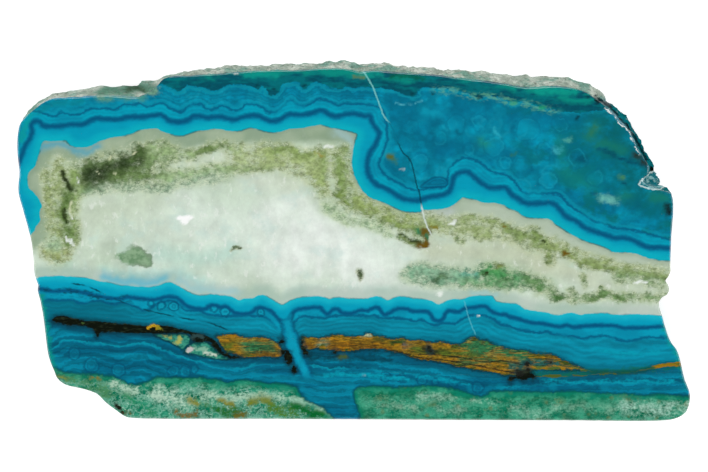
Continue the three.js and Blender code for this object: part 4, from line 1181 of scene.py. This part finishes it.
left_of_vein = np.minimum(side_distance(lean, VEIN_LEFT), -side_distance(lean, VEIN_RIGHT))
seam_inside = np.minimum(-side_distance(lean, SEAM_TOP), side_distance(lean, SEAM_BOTTOM))
rust_inside = np.maximum(-side_distance(lean, RUST_CLOT, True), -side_distance(lean, RUST_BAND, True))
blot_inside = -side_distance(ragged, BLACK_BLOT, True)
for middle, size in BLACK_GRAINS:
    blot_inside = np.maximum(blot_inside, size - np.linalg.norm((ragged - middle) * (1.0, 0.75), axis=1))
keep("vein", left_of_vein)
keep("seam", np.maximum(seam_inside, blot_inside))
keep("rust", rust_inside)
keep("rust_tail", side_distance(lean, RUST_TAIL))
keep("rust_tail_below", side_distance(lean, RUST_TAIL_BELOW))
keep("long_crack", side_distance(lean, LONG_CRACK))
keep("short_crack", side_distance(lean, SHORT_CRACK))
keep("pocket", np.maximum(-side_distance(lean, POCKET, True), -side_distance(lean, POCKET_BEHIND, True)))
keep_paint("pocket_marks", POCKET_MARKS)
keep_paint("seam_spots", SEAM_SPOTS)
keep_paint("ore_marks", ORE_MARKS)
keep_paint("rust_marks", RUST_MARKS)

mark_colour, mark_cover = read_colour("ore_marks")
streaky = cloud(2.2, 0.5, 101.0, 6.0, 0.66) - 0.5
grainy = cloud(0.5, 0.35, 105.0, 5.0, 0.72) - 0.5
rough_edge = streaky * 1.1 + grainy * 0.9
mark_share = mark_cover + rough_edge * rise(mark_cover, 0.02, 0.3)
colour = over(colour, mark_colour, rise(mark_share, 0.08, 0.95))

# The pockets, dark where they meet the crust.
pocket = read("pocket") + rough_edge * 0.4
pocket_colour = over((8, 96, 84), (56, 146, 124), rise(cloud(0.9, 0.6, 118.0, 5.0, 0.66), 0.4, 0.6))
pocket_mark, pocket_cover = read_colour("pocket_marks")
pocket_colour = over(pocket_colour, pocket_mark, rise(pocket_cover + grainy * 1.2, 0.15, 0.7))
colour = over(colour, (4, 48, 50), rise(pocket, -0.4, 0.05) * 0.75)
colour = over(colour, pocket_colour, rise(pocket, 0.0, 0.2))

# The healing vein, cyan with darker walls.
vein_edge = read("vein") + waver * 1.5
vein_colour = over((0, 118, 150), (4, 148, 177), rise(vein_edge, 0.15, 0.7))
vein_colour = shade(vein_colour, (cloud(0.8, 1.8, 103.0, 5.0, 0.65) - 0.5) * 0.6)
in_crust = rise(under_line, -0.6, 0.3) * rise(up_slab, -21.4, -19.8)
colour = over(colour, (0, 84, 114), rise(vein_edge, -0.55, 0.05) * in_crust * 0.8)
colour = over(colour, vein_colour, rise(vein_edge, -0.08, 0.3) * in_crust)

# The rusty part: fibrous limonite with green and black grains, dark where it meets the crust.
rust_edge = read("rust") + rough_edge * 0.55
rust_colour, rust_cover = read_colour("rust_marks")
rust_body = over((50, 74, 20), (122, 98, 6), rise(cloud(2.2, 0.4, 107.0, 6.0, 0.68), 0.42, 0.58))
rust_body = over(rust_body, rust_colour, rise(rust_cover + rough_edge, 0.16, 0.66))
bright_streak = rise(cloud(2.4, 0.32, 117.0, 5.0, 0.6), 0.53, 0.62)
rust_body = over(rust_body, (178, 120, 6), bright_streak * 0.42)
rust_body = shade(rust_body, (cloud(0.5, 0.32, 109.0, 5.0, 0.72) - 0.5) * 1.9)
thread = rise(abs(cloud(3.0, 0.34, 111.0, 3.0, 0.5) - 0.5), 0.034, 0.006)
rust_body = over(rust_body, (24, 26, 8), thread * 0.7)
fleck = rise(cloud(0.5, 0.36, 112.0, 4.0, 0.7), 0.61, 0.7)
rust_body = over(rust_body, (170, 150, 60), fleck * 0.25)
for name in ("long_crack", "short_crack"):
    crack = rise(abs(read(name) + rough_edge * 0.45), 0.17, 0.03)
    rust_body = over(rust_body, (14, 18, 8), crack * 0.85)
colour = over(colour, (6, 40, 40), rise(rust_edge, -0.4, 0.05) * 0.75)
colour = over(colour, rust_body, rise(rust_edge, 0.0, 0.22))

# The thin tails it runs out into at the right.
tail_width = rise(cloud(3.0, 1.0, 115.0, 4.0), 0.36, 0.62) * 0.36
thin = rise(across_slab, 33.0, 35.5) * rise(across_slab, 45.6, 44.4)
tail_width *= 1.0 - thin * 0.5
tail = abs(read("rust_tail") + rough_edge * 0.5)
tail_share = rise(tail_width - tail, -0.04, 0.1)
colour = over(colour, (8, 66, 58), rise(tail, 0.6, 0.15) * 0.55)
tail_colour = over((150, 112, 16), (74, 98, 40), rise(streaky, -0.04, 0.08))
tail_colour = over(tail_colour, (18, 84, 62), thin * 0.85)
colour = over(colour, tail_colour, tail_share)
tail = abs(read("rust_tail_below") + rough_edge * 0.5)
tail_share = rise(tail_width * 0.7 - tail, -0.04, 0.08)
colour = over(colour, (78, 92, 36), tail_share)

# The black part.
seam_edge = read("seam") + rough_edge * 0.5
seam_colour = over((8, 15, 6), (34, 44, 28), rise(cloud(1.2, 0.4, 113.0, 6.0, 0.68), 0.5, 0.72))
colour = over(colour, (4, 44, 54), rise(seam_edge, -0.6, 0.0) * 0.6)
colour = over(colour, seam_colour, rise(seam_edge, -0.06, 0.14))
spot_colour, spot_cover = read_colour("seam_spots")
colour = over(colour, spot_colour, rise(spot_cover + grainy, 0.2, 0.75))

# The green foot: the oldest layer, along the sawn lower side, where the vein grew on its wall rock. It is
# granular green silica with pale grains, olive and brown stains, and one tongue of blue through it.
FOOT_MARKS = (
    ((168, 200, 178), 1.1, 0.75, ((-30, -23), (-28, -23.6), (-25.4, -24.4))),
    ((156, 194, 170), 0.7, 0.75, ((-22, -23.4), (-18, -23.6), (-14, -23.5), (-11, -23.6))),
    ((160, 196, 172), 0.9, 0.7, ((4, -24.4), (6.5, -24.8), (9, -25.2))),
    ((166, 202, 182), 0.6, 0.75, ((10, -23.5), (12.5, -23.6), (15, -23.8))),
    ((160, 196, 176), 0.7, 0.7, ((13, -25.6), (16.4, -25.5))),
    ((170, 204, 184), 0.5, 0.7, ((17.8, -24.1), (18.8, -24.1))),
    ((170, 204, 184), 0.6, 0.7, ((20.4, -24.5), (21.6, -24.5))),
    ((160, 198, 178), 0.8, 0.7, ((24, -25.6), (28, -26.2))),
    ((164, 202, 184), 1.0, 0.75, ((40.5, -25), (44, -25.2), (47, -25.4), (50, -25.4))),
    ((150, 190, 166), 0.8, 0.6, ((30, -25.2), (34, -25), (38, -25.4))),
    ((168, 200, 178), 0.8, 0.7, ((-35.6, -21.9), (-33, -22.6))),
    ((118, 124, 44), 0.6, 0.8, ((-24.4, -24), (-23.6, -24.4))),
    ((110, 92, 36), 0.5, 0.75, ((-26.4, -26), (-25, -26.4), (-23.8, -26.2))),
    ((36, 104, 44), 0.8, 0.75, ((-21.6, -25.4), (-19.4, -25.9), (-17.8, -26))),
    ((124, 126, 44), 0.5, 0.8, ((-19.8, -24.2), (-18.6, -24.6))),
    ((110, 122, 36), 0.7, 0.85, ((-15.4, -24.6), (-14.2, -23.9), (-12.8, -24.2))),
    ((104, 96, 34), 0.5, 0.75, ((-17.6, -26.5), (-16.4, -26.2))),
    ((72, 118, 40), 0.9, 0.75, ((-12.4, -25.4), (-10.4, -25.8), (-9, -26.4))),
    ((120, 80, 24), 0.4, 0.8, ((-34.2, -25.8), (-33.6, -26.1))),
    ((96, 108, 52), 0.5, 0.7, ((3.8, -24), (4.8, -24))),
    ((96, 108, 52), 0.5, 0.7, ((11, -24.7), (12, -24.7))),
    ((0, 98, 40), 0.9, 0.85, ((-8.6, -25), (-7, -25.6), (-4.4, -26.4))),
    ((150, 196, 172), 0.45, 0.8, ((-9.5, -24), (-7.6, -24.3), (-6, -24.6), (-4.6, -25.4), (-3.4, -26.2))),
    ((128, 108, 34), 0.4, 0.75, ((-39.4, -20.7), (-38.5, -20.8))),
    ((128, 112, 40), 0.35, 0.75, ((30.6, -24.2), (31.5, -24.2))),
    ((130, 134, 52), 0.6, 0.75, ((-44.4, -20.4), (-43.4, -20.8))),
    ((96, 100, 54), 0.4, 0.75, ((39.5, -23.4), (41.4, -23.7), (43, -23.8))),
    ((20, 24, 12), 0.4, 0.9, ((-35.8, -24.9), (-35.2, -25.3), (-34.6, -25.8))),
    ((66, 129, 84), 1.0, 0.6, ((-42, -21.4), (-39, -22), (-36.6, -23))),
    ((30, 128, 84), 0.8, 0.6, ((-34, -23.6), (-32, -24.8), (-30, -26))),
    ((8, 124, 90), 0.7, 0.6, ((32, -24), (36, -24.2), (39, -24.6))),
)
keep_paint("foot_marks", FOOT_MARKS)

fine_grain = cloud(0.42, 0.36, 121.0, 6.0, 0.74) - 0.5
grain_cloud = cloud(1.7, 1.2, 123.0, 5.0, 0.62) - 0.5
green = over((8, 114, 84), (52, 150, 118), rise(cloud(2.4, 1.5, 127.0, 5.0), 0.4, 0.6))
green = over(green, (2, 92, 62), rise(cloud(1.5, 1.1, 129.0, 5.0), 0.54, 0.68) * 0.7)
pale_grain = fine_grain * 1.3 + grain_cloud * 3.0
lace = rise(abs(cloud(1.3, 1.0, 131.0, 5.0, 0.62) - 0.5), 0.075, 0.0)
pale_share = larger(rise(pale_grain, -0.25, 0.85) * 0.75, lace * 0.7)
pale_here = 1.0 - rise(across_slab, -4.0, 3.0) * 0.85
pale_here += rise(across_slab, 37.0, 43.0) * 0.4
pale_share *= rise(foot, 0.4, 1.5) * pale_here
green = over(green, (128, 182, 162), pale_share)
nodule = rise(growths(1.7, 134.0), 0.36, 0.12) * rise(cloud(3.2, 2.4, 136.0), 0.46, 0.58)
green = over(green, (104, 118, 70), nodule * rise(across_slab, 0.0, 6.0) * 0.6)
stain_colour, stain_cover = read_colour("foot_marks")
broken = stain_cover + (fine_grain * 1.5 + grain_cloud * 2.0)
stained = rise(broken, 0.05, 1.25) * rise(stain_cover, 0.03, 0.3)
green = over(green, stain_colour, stained * (pale_here + 0.35))
dark_grain = rise(cloud(0.6, 0.5, 133.0, 4.0, 0.7), 0.58, 0.7)
green = over(green, (12, 84, 56), dark_grain * 0.42)
white_grain = rise(cloud(0.34, 0.3, 135.0, 3.0, 0.7), 0.6, 0.74) * rise(foot, 0.8, 1.8)
white_grain *= 1.0 - stained
green = over(green, (196, 222, 206), white_grain * pale_here * 0.45)
green = shade(green, fine_grain * 0.7)
strip = rise(foot + grain_cloud * 3.0, 1.0, 0.1)
strip *= 0.3 + rise(across_slab, -36.0, -20.0) * 0.4
green = over(green, (6, 128, 104), strip)
colour = over(colour, green, rise(foot, -0.14, 0.18))
colour = over(colour, (2, 72, 66), rise(abs(foot), 0.34, 0.03) * 0.55)

# Marks in the upper blue: healed cracks, dark pits, pale growths, green stains under the rind and two painted
# glints, white. The cracks are younger than the bands and cross them, and silica has filled them, pale above
# and dark further down.
PIT = (0, 58, 70)
UPPER_MARKS = (
    ((80, 180, 196), 0.2, 0.6, ((6.2, 20.4), (8, 20.4), (9, 20.3), (9.8, 20.8), (10.3, 21))),
    (PIT, 0.32, 0.85, ((8.7, 21.9), (9, 21.9))),
    (PIT, 0.32, 0.85, ((11.8, 22), (12, 22))),
    (PIT, 0.3, 0.8, ((-14.5, 22.8), (-14.3, 22.8))),
    (PIT, 0.3, 0.8, ((-12.1, 22.6), (-11.9, 22.6))),
    (PIT, 0.3, 0.8, ((-7.5, 23), (-7.3, 23))),
    (PIT, 0.35, 0.85, ((18.8, 21.3), (19.1, 21.3))),
    (PIT, 0.3, 0.85, ((33.2, 18.1), (33.5, 18.1))),
    (PIT, 0.35, 0.85, ((36.4, 20.6), (36.7, 20.6))),
    (PIT, 0.3, 0.8, ((34.8, 21.2), (35.1, 21.2))),
    ((56, 112, 70), 0.7, 0.7, ((5.6, 12.4), (6, 12))),
    ((92, 96, 40), 0.3, 0.7, ((5.4, 12.5), (5.7, 12.4))),
    # A painted glint, white.
    (WHITE, 0.2, 0.5, ((7.1, 10.6), (7.7, 10.55))),
    ((0, 88, 112), 0.35, 0.6, ((15.4, 16.2), (16, 15.8))),
    ((40, 168, 188), 0.25, 0.6, ((21, 17), (21.2, 16.2), (21.8, 15.3))),
    ((36, 112, 92), 0.4, 0.7, ((23.8, 12.9), (24.3, 12.9))),
    ((60, 160, 120), 0.4, 0.7, ((23.8, 20.6), (24.3, 20.6))),
    ((40, 160, 110), 0.4, 0.75, ((28.1, 19.8), (28.6, 19.8))),
    ((40, 114, 84), 0.5, 0.7, ((36.1, 16.7), (35.5, 15.7))),
    ((60, 176, 190), 0.7, 0.55, ((30.2, 13.5), (30.9, 13.5))),
    ((90, 180, 160), 0.5, 0.55, ((31.8, 15), (32.3, 15))),
    ((0, 72, 92), 0.4, 0.7, ((37, 13.5), (40, 12.2), (43.5, 11.2))),
    ((36, 40, 28), 0.5, 0.8, ((42.2, 12.7), (43, 12.2), (43.8, 11.5))),
    ((70, 136, 84), 0.4, 0.7, ((40.1, 9.3), (40.6, 9.3))),
    ((0, 66, 84), 0.35, 0.75, ((40.2, 8.5), (40.7, 8.5))),
    ((0, 78, 100), 0.35, 0.6, ((35.8, 7), (36.2, 7))),
    ((110, 190, 176), 0.75, 0.7, ((37.4, 6.1), (38.4, 6), (39.3, 5.8))),
    ((14, 24, 24), 0.5, 0.85, ((47, 4.8), (47.1, 3.8))),
    ((6, 148, 136), 0.6, 0.75, ((-16, 24.6), (-14, 24.7), (-12, 24.6))),
    ((8, 146, 134), 0.6, 0.75, ((1.6, 24.7), (4, 24.7))),
    ((0, 92, 70), 0.5, 0.75, ((6, 24.5), (8, 24.5), (10, 24.3))),
    ((6, 152, 136), 0.7, 0.8, ((28, 22.3), (30.4, 22.4), (33, 22.1))),
    ((104, 116, 60), 0.3, 0.7, ((0.2, 24.5), (1.3, 24.4))),
    ((5, 152, 152), 0.6, 0.7, ((-49.7, 15), (-49.4, 17), (-48.6, 18.6))),
    ((70, 144, 128), 0.7, 0.75, ((-38, 21.4), (-35, 21.5), (-32, 21.3))),
    ((5, 130, 140), 0.7, 0.6, ((-47, 19.6), (-44.6, 20.4), (-41, 20.8))),
    # A painted glint on a small chip, white.
    (WHITE, 0.16, 0.5, ((-18, 24.9), (-17.4, 24.9))),
)
# Soft patches inside the lobe, and the larger of its rounded growths: middle and radius.
LOBE_ZONES = (
    ((2, 94, 100), 3.2, 0.75, ((36, 18), (39.4, 14.6), (42, 11), (44.6, 8))),
    ((0, 104, 114), 2.6, 0.65, ((33, 16), (35.5, 11), (39, 8.6), (44, 5))),
    ((0, 110, 142), 1.7, 0.5, ((8, 18), (14, 18.6), (20, 18.4), (27, 17.8), (33, 18))),
    ((0, 106, 138), 1.5, 0.5, ((13, 13), (17, 14.4), (20, 12.6), (23, 13))),
    ((8, 152, 178), 0.8, 0.75, ((10.9, 19.1), (12.4, 19))),
    ((4, 148, 174), 1.2, 0.7, ((25.9, 16.8), (26.8, 16.4))),
    ((3, 140, 168), 1.0, 0.6, ((25, 10.8), (25.2, 10.6))),
    ((3, 138, 164), 1.1, 0.55, ((9.7, 11.7), (9.9, 11.5))),
    ((3, 138, 166), 1.1, 0.5, ((15, 17), (16, 17.2))),
    ((3, 140, 164), 1.0, 0.5, ((20.6, 14), (21, 13.4))),
    ((3, 136, 162), 1.1, 0.5, ((29, 9), (29.4, 9))),
    ((3, 138, 158), 0.9, 0.5, ((36, 9.4), (37, 9))),
    ((0, 82, 106), 0.8, 0.8, ((33.2, 12.3), (34.2, 12.2))),
    ((0, 94, 122), 0.7, 0.6, ((12.2, 17.8), (12.9, 17.7))),
    ((0, 94, 120), 0.7, 0.6, ((15.7, 12.5), (16.4, 12.4))),
    ((0, 92, 120), 0.6, 0.6, ((24.2, 17.4), (23.9, 16.4), (24.2, 15.4))),
    ((26, 132, 110), 1.0, 0.55, ((19.4, 14.6), (19.8, 14.4))),
    ((14, 128, 120), 1.3, 0.5, ((31, 14), (32, 10), (35, 8))),
    ((24, 124, 108), 1.2, 0.6, ((36, 16.6), (35.4, 15.6))),
    ((20, 120, 104), 0.9, 0.65, ((37, 14.4), (38.6, 14), (40, 13.5))),
    ((20, 124, 108), 0.9, 0.6, ((40.2, 6.3), (41, 6.3))),
    ((20, 124, 108), 0.9, 0.6, ((45.2, 6.4), (46.6, 6.2))),
    ((0, 92, 116), 0.8, 0.55, ((41.6, 5.2), (42.6, 5.2))),
)
CELLS = (
    ((26.2, 16.6), 1.5), ((25.1, 10.7), 1.15), ((9.8, 11.6), 1.25), ((33.6, 12.2), 1.25),
    ((13, 15.2), 0.9), ((21, 14), 1.3), ((15.4, 17.2), 1.2), ((18.6, 17.6), 0.9), ((29.2, 9), 1.1),
    ((36.4, 9.2), 1.0), ((22.8, 11.6), 0.9), ((28.6, 13.2), 1.0), ((31, 17.2), 1.0), ((8.6, 16.8), 1.0),
    ((17.4, 13.6), 0.8),
)
# A tongue of finer layers in the hollow of the lobe, and a streak of pale grains under its dark top.
TONGUE = (
    (10, 7.9), (11, 8.7), (12, 9.3), (13.2, 9.4), (14, 8.9), (14.1, 8.3), (13.4, 7.95), (11.5, 7.8),
)
PALE_STREAK = (
    (10, 22.7), (13.5, 22.3), (15, 22.3), (16.4, 21.9), (17.7, 21.4), (20.3, 21.6), (21.5, 21.3),
    (23.3, 20.7), (25, 20.6), (27, 20), (28.4, 19.5), (30, 19.4), (32.5, 18.9),
)
PALE_CRACK = (
    (1.2, 25.8), (1.6, 25), (2.3, 23.9), (2.9, 22.8), (3.3, 21.8), (3.5, 21.2), (3.8, 20.4), (4.1, 19.6),
    (4.5, 18.6), (4.9, 18), (5.3, 17.6),
)
DARK_CRACK = (
    (5.3, 17.6), (5.9, 16.4), (6.4, 15.2), (6.8, 14.2), (7.3, 13.2), (8, 12.5), (8.5, 11.8), (8.75, 11.2),
    (8.9, 10.6), (9.2, 9.3), (9.5, 8), (9.9, 6.9), (10, 6), (10.2, 5), (10.3, 4.4), (10.45, 3.6),
    (10.7, 2.8), (11.1, 1.8), (11.8, 0.4),
)
FOOT_CRACK = (
    (16.6, -9.2), (16.8, -10), (17.1, -11.2), (17.6, -12.6), (18, -13.6), (18.3, -14.4),
)
pale_crack = side_distance(lean, PALE_CRACK)
dark_crack = side_distance(lean, DARK_CRACK)
keep("pale_crack", pale_crack)
keep("dark_crack", dark_crack)
keep("foot_crack", side_distance(lean, FOOT_CRACK))
keep_paint("upper_marks", UPPER_MARKS)
keep_paint("lobe_zones", LOBE_ZONES)
keep("cells", np.min([np.linalg.norm(ragged - middle, axis=1) - size for middle, size in CELLS], axis=0))
keep("tongue", -side_distance(lean, TONGUE, True))
keep("pale_streak", side_distance(lean, PALE_STREAK))

in_mass = rise(second_line, 0.1, 0.6) * rise(top_layer, 0.0, -0.3)
zone_colour, zone_cover = read_colour("lobe_zones")
zone_share = zone_cover * (0.85 + clot * 1.6)
colour = over(colour, zone_colour, rise(zone_share, 0.0, 0.95) * in_mass)
cell_edge = read("cells") + waver * 1.2
cell_rim = rise(abs(cell_edge), 0.24, 0.02) * rise(cloud(2.2, 2.2, 161.0), 0.42, 0.58)
colour = over(colour, (24, 158, 180), cell_rim * in_mass * 0.24)
cell_rim = rise(abs(cell_edge - 0.3), 0.28, 0.02)
colour = over(colour, (0, 92, 120), cell_rim * in_mass * 0.24)
tongue = read("tongue") + waver * 0.6
colour = over(colour, (0, 106, 140), rise(tongue, -0.1, 0.2) * 0.6)
colour = over(colour, (0, 78, 112), rise(abs(tongue), 0.24, 0.02) * 0.7)
colour = over(colour, (0, 84, 116), rise(abs(tongue - 0.42), 0.16, 0.02) * 0.5)
streak = rise(abs(read("pale_streak") + fibre * 1.6), 0.9, 0.1)
streak *= rise(across_slab, 11.0, 13.0) * rise(across_slab, 31.6, 29.6)
streak *= rise(cloud(1.1, 0.5, 163.0, 5.0, 0.68), 0.4, 0.62)
colour = over(colour, (92, 166, 138), streak * 0.62)

mark_colour, mark_cover = read_colour("upper_marks")
mark_share = mark_cover + fibre * (rise(mark_cover, 0.02, 0.3) * 0.9)
colour = over(colour, mark_colour, rise(mark_share, 0.05, 1.05))
crack_waver = fine_waver * 0.8
crack = rise(abs(read("pale_crack") + crack_waver), 0.2, 0.03)
crack *= rise(up_slab, 17.3, 18.0)
colour = over(colour, (120, 200, 196), crack * 0.75)
crack = rise(abs(read("dark_crack") + crack_waver), 0.2, 0.03)
crack_tint = over((206, 220, 214), (0, 60, 74), rise(up_slab, 4.6, 5.6))
crack_tint = over(crack_tint, (0, 112, 138), rise(up_slab, 13.6, 15.2))
crack *= rise(up_slab, 0.3, 1.0) * rise(up_slab, 17.9, 17.3)
colour = over(colour, crack_tint, crack * 0.8)
crack = rise(abs(read("foot_crack") + crack_waver), 0.16, 0.03)
crack *= rise(up_slab, -14.5, -14.0) * rise(up_slab, -9.0, -9.4)
colour = over(colour, (90, 190, 204), crack * 0.45)

# The outsides: the rind is the vein's grey granular skin, the shoulder is a glassy break whose glints and
# chip facet reflection are painted, the ends and the foot are sawn or worn smooth, and the back is left as
# the saw left it. The softer ore and the cracks are worn a little below the polish.
SHOULDER_MARKS = (
    ((98, 142, 122), 0.8, 0.7, ((-37.8, 21.9), (-35, 22.2), (-32.4, 22.5), (-30, 22.3))),
    ((64, 80, 56), 0.35, 0.7, ((-34, 22.2), (-31.8, 22.3))),
    ((6, 40, 46), 0.3, 0.8, ((36.6, 21), (38.4, 19.8), (40.2, 18.2), (41.6, 16.4), (42.8, 14.2), (44, 12))),
    ((12, 18, 16), 0.4, 0.95, ((45, 10.5), (45.4, 10.1))),
)
# Painted glints: a broken white line along the chipped shoulder's edge, where the chips catch the light.
SHOULDER_GLINT_LINE = (
    (36, 21.2), (36.9, 20.5), (37.7, 19.7), (38.3, 19.2), (39.2, 18.4), (40.2, 17.2), (41.3, 16.3),
    (41.7, 15), (42.6, 13.3), (43.6, 11.6), (44.6, 9.6),
)
# One chip facet, painted on the flat face: teal stone, with pale streaks and a light rim that are painted
# reflection.
FACET = (
    (42.9, 8.3), (43.6, 9.2), (45, 9.8), (46.4, 9.3), (47.3, 8.2), (46, 7.5), (44.4, 7.6),
)


SEAM_WEAR = 0.06
RUST_WEAR = 0.05
CRACK_WEAR = 0.05
FOOT_WEAR = 0.02
BUMP_HEIGHT = 0.0004
STONE_IOR = 1.54


def eased(values, low, high):
    """0 below low and 1 above high, with the cubic 3t^2 - 2t^3 between."""
    t = np.clip((values - low) / (high - low), 0.0, 1.0)
    return t * t * (3.0 - 2.0 * t)


rim_at = rim_way * face_rim[:, None]
shoulder = eased(rim_at[:, 0], 35.5, 38.5) * (rim_at[:, 1] > 0.0)
below_face = eased(FACE_HEIGHT - flank[:, 2], 0.15, 0.8)
flared = np.tile(eased(flare, 0.15, 0.5), len(FLANK_HEIGHTS)) * below_face
shoulder = np.tile(shoulder, len(FLANK_HEIGHTS))
rind = np.zeros(len(spots))
rind[on_flank] = flared * (1.0 - shoulder)
broken_off = np.zeros(len(spots))
broken_off[on_flank] = flared * shoulder
sawn = np.zeros(len(spots))
sawn[on_back] = 1.0
sawn[on_flank] = 0.6 * below_face * (1.0 - flared)
keep("rind", rind)
keep("broken_off", broken_off)
keep("sawn", sawn)
keep_paint("shoulder_marks", SHOULDER_MARKS)
keep("shoulder_glint_line", side_distance(lean, SHOULDER_GLINT_LINE))
keep("facet", -side_distance(lean, FACET, True))

worn = SEAM_WEAR * eased(np.maximum(seam_inside, blot_inside), 0.0, 0.4)
worn += RUST_WEAR * eased(rust_inside, 0.0, 0.4)
worn += CRACK_WEAR * eased(-np.minimum(np.abs(pale_crack), np.abs(dark_crack)), -0.35, 0.0)
worn += FOOT_WEAR * eased(foot_edge, 0.8, 1.6) * (1.0 + lumps(spots + 50.0, 0.6))
rim_there = outline_radius(FACE_HEIGHT, np.arctan2(face[:, 1], face[:, 0]))
inside_rim = rim_there - np.hypot(face[:, 0], face[:, 1])
spots[on_face, 2] -= worn[on_face] * eased(inside_rim, 0.1, 0.6)
slab_mesh.vertices.foreach_set("co", (spots / MILLIMETRES).ravel())

granules = cloud(0.5, 0.5, 141.0, 4.0, 0.7) - 0.5
skin_colour = over((160, 176, 162), (200, 210, 198), rise(cloud(2.4, 2.4, 143.0, 4.0), 0.4, 0.6))
skin_colour = over(skin_colour, (104, 158, 142), rise(cloud(3.0, 2.0, 145.0, 4.0), 0.48, 0.62) * 0.75)
skin_colour = shade(skin_colour, granules * 1.3)
skin_colour = over(skin_colour, (84, 92, 74), rise(cloud(0.6, 0.6, 147.0, 3.0, 0.7), 0.58, 0.68) * 0.55)
is_rind = rise(read("rind") + granules, 0.25, 0.6)
colour = over(colour, skin_colour, is_rind)
is_broken = read("broken_off")
colour = over(colour, (8, 104, 106), is_broken * 0.75)
# Painted glints: white highlights scattered on the broken shoulder's flank.
glint = rise(cloud(0.7, 1.6, 149.0, 4.0, 0.65), 0.62, 0.7)
colour = over(colour, (220, 232, 230), glint * (is_broken * 0.65))
dark_glint = rise(cloud(1.3, 1.6, 151.0, 3.0, 0.6), 0.56, 0.66)
colour = over(colour, (16, 40, 42), dark_glint * (is_broken * 0.55))
chip_colour, chip_cover = read_colour("shoulder_marks")
chip_colour = shade(chip_colour, granules * 1.6)
colour = over(colour, chip_colour, rise(chip_cover + granules * 0.8, 0.12, 0.7))
# Painted glints along the shoulder's edge, white.
edge_glint = rise(abs(read("shoulder_glint_line") + waver * 1.6), 0.17, 0.04)
edge_glint *= rise(across_slab, 37.0, 37.8) * rise(up_slab, 12.4, 13.4)
edge_glint *= rise(cloud(2.0, 2.0, 153.0, 4.0, 0.6), 0.45, 0.55)
colour = over(colour, (228, 238, 236), edge_glint * 0.9)
# The chip facet: teal stone with pale streaks of painted reflection, then a painted highlight along its rim.
facet = read("facet") + waver
facet_colour_and_sheen = over((20, 112, 124), (150, 200, 200), rise(cloud(0.8, 0.5, 157.0, 5.0, 0.7), 0.46, 0.62))
colour = over(colour, facet_colour_and_sheen, rise(facet, -0.05, 0.2) * 0.75)
colour = over(colour, (206, 228, 226), rise(abs(facet), 0.16, 0.03) * 0.75)

is_sawn = read("sawn")
colour = shade(colour, is_sawn * -0.12)
saw_marks = ripple(across_slab + up_slab * 0.35, 0.8) * is_sawn
roughness = is_rind * 0.7 + is_sawn * 0.36
roughness += is_broken * 0.5
dull = larger(is_rind, is_broken) * -0.5
fill(surface.inputs["Specular IOR Level"], dull + 0.5)
roughness += 0.1 + rise(read("rust"), 0.0, 0.3) * 0.2
relief = granules * is_rind + saw_marks * 0.04
bump = tree.nodes.new("ShaderNodeBump")
bump.inputs["Distance"].default_value = BUMP_HEIGHT
fill(bump.inputs["Height"], relief)
fill(surface.inputs["Normal"], bump.outputs[0])
fill(surface.inputs["Roughness"], roughness)
fill(surface.inputs["Base Color"], colour)
surface.inputs["IOR"].default_value = STONE_IOR

# The slab is one loose stone that rests on its sawn back, held by nothing. It rides on the root body and is
# shown in place of the model's own solid, with one finish.
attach(slab, "root")
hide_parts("slab")

# The studio: a wide white table, four large soft lamps low enough round it that none of them mirrors in
# the polished face, and a camera straight above with a long lens. Lengths here are metres.
TABLE_HALF = 2.0
LAMP_AWAY = 0.62
LAMP_HEIGHT = 0.58
CAMERA_PLACE = (0.000045, 0.00053, 0.40465)
table_material = bpy.data.materials.new("white_table")
table_material.use_nodes = True
table_shader = table_material.node_tree.nodes["Principled BSDF"]
table_shader.inputs["Base Color"].default_value = (0.5, 0.5, 0.5, 1.0)
table_shader.inputs["Roughness"].default_value = 0.9
table_shader.inputs["Specular IOR Level"].default_value = 0.1
table_shader.inputs["Emission Color"].default_value = (1.0, 1.0, 1.0, 1.0)
table_shader.inputs["Emission Strength"].default_value = 0.72
table_mesh = bpy.data.meshes.new("table")
corner_signs = ((-1, -1), (1, -1), (1, 1), (-1, 1))
table_corners = [(x * TABLE_HALF, y * TABLE_HALF, 0.0) for x, y in corner_signs]
table_mesh.from_pydata(table_corners, [], [(0, 1, 2, 3)])
table_mesh.materials.append(table_material)
table = bpy.data.objects.new("table", table_mesh)
bpy.context.scene.collection.objects.link(table)

for name, azimuth in (("left", 180.0), ("right", 0.0), ("far", 90.0), ("near", 270.0)):
    lamp_data = bpy.data.lights.new("lamp_" + name, "AREA")
    lamp_data.shape = "DISK"
    lamp_data.size = 0.5
    lamp_data.energy = 2.75
    lamp = bpy.data.objects.new("lamp_" + name, lamp_data)
    away = math.radians(azimuth)
    lamp.location = (LAMP_AWAY * math.cos(away), LAMP_AWAY * math.sin(away), LAMP_HEIGHT)
    lamp.rotation_euler = (0.0, math.atan2(LAMP_AWAY, LAMP_HEIGHT), away)
    bpy.context.scene.collection.objects.link(lamp)

world = bpy.data.worlds.new("studio")
world.use_nodes = True
world.node_tree.nodes["Background"].inputs["Color"].default_value = (1.0, 1.0, 1.0, 1.0)
world.node_tree.nodes["Background"].inputs["Strength"].default_value = 0.06
bpy.context.scene.world = world

camera_data = bpy.data.cameras.new("camera")
camera_data.lens = 135.0
camera_data.sensor_width = 36.0
camera_data.dof.use_dof = False
camera = bpy.data.objects.new("camera", camera_data)
camera.location = CAMERA_PLACE
bpy.context.scene.collection.objects.link(camera)
bpy.context.scene.camera = camera
bpy.context.scene.view_settings.view_transform = "Standard"
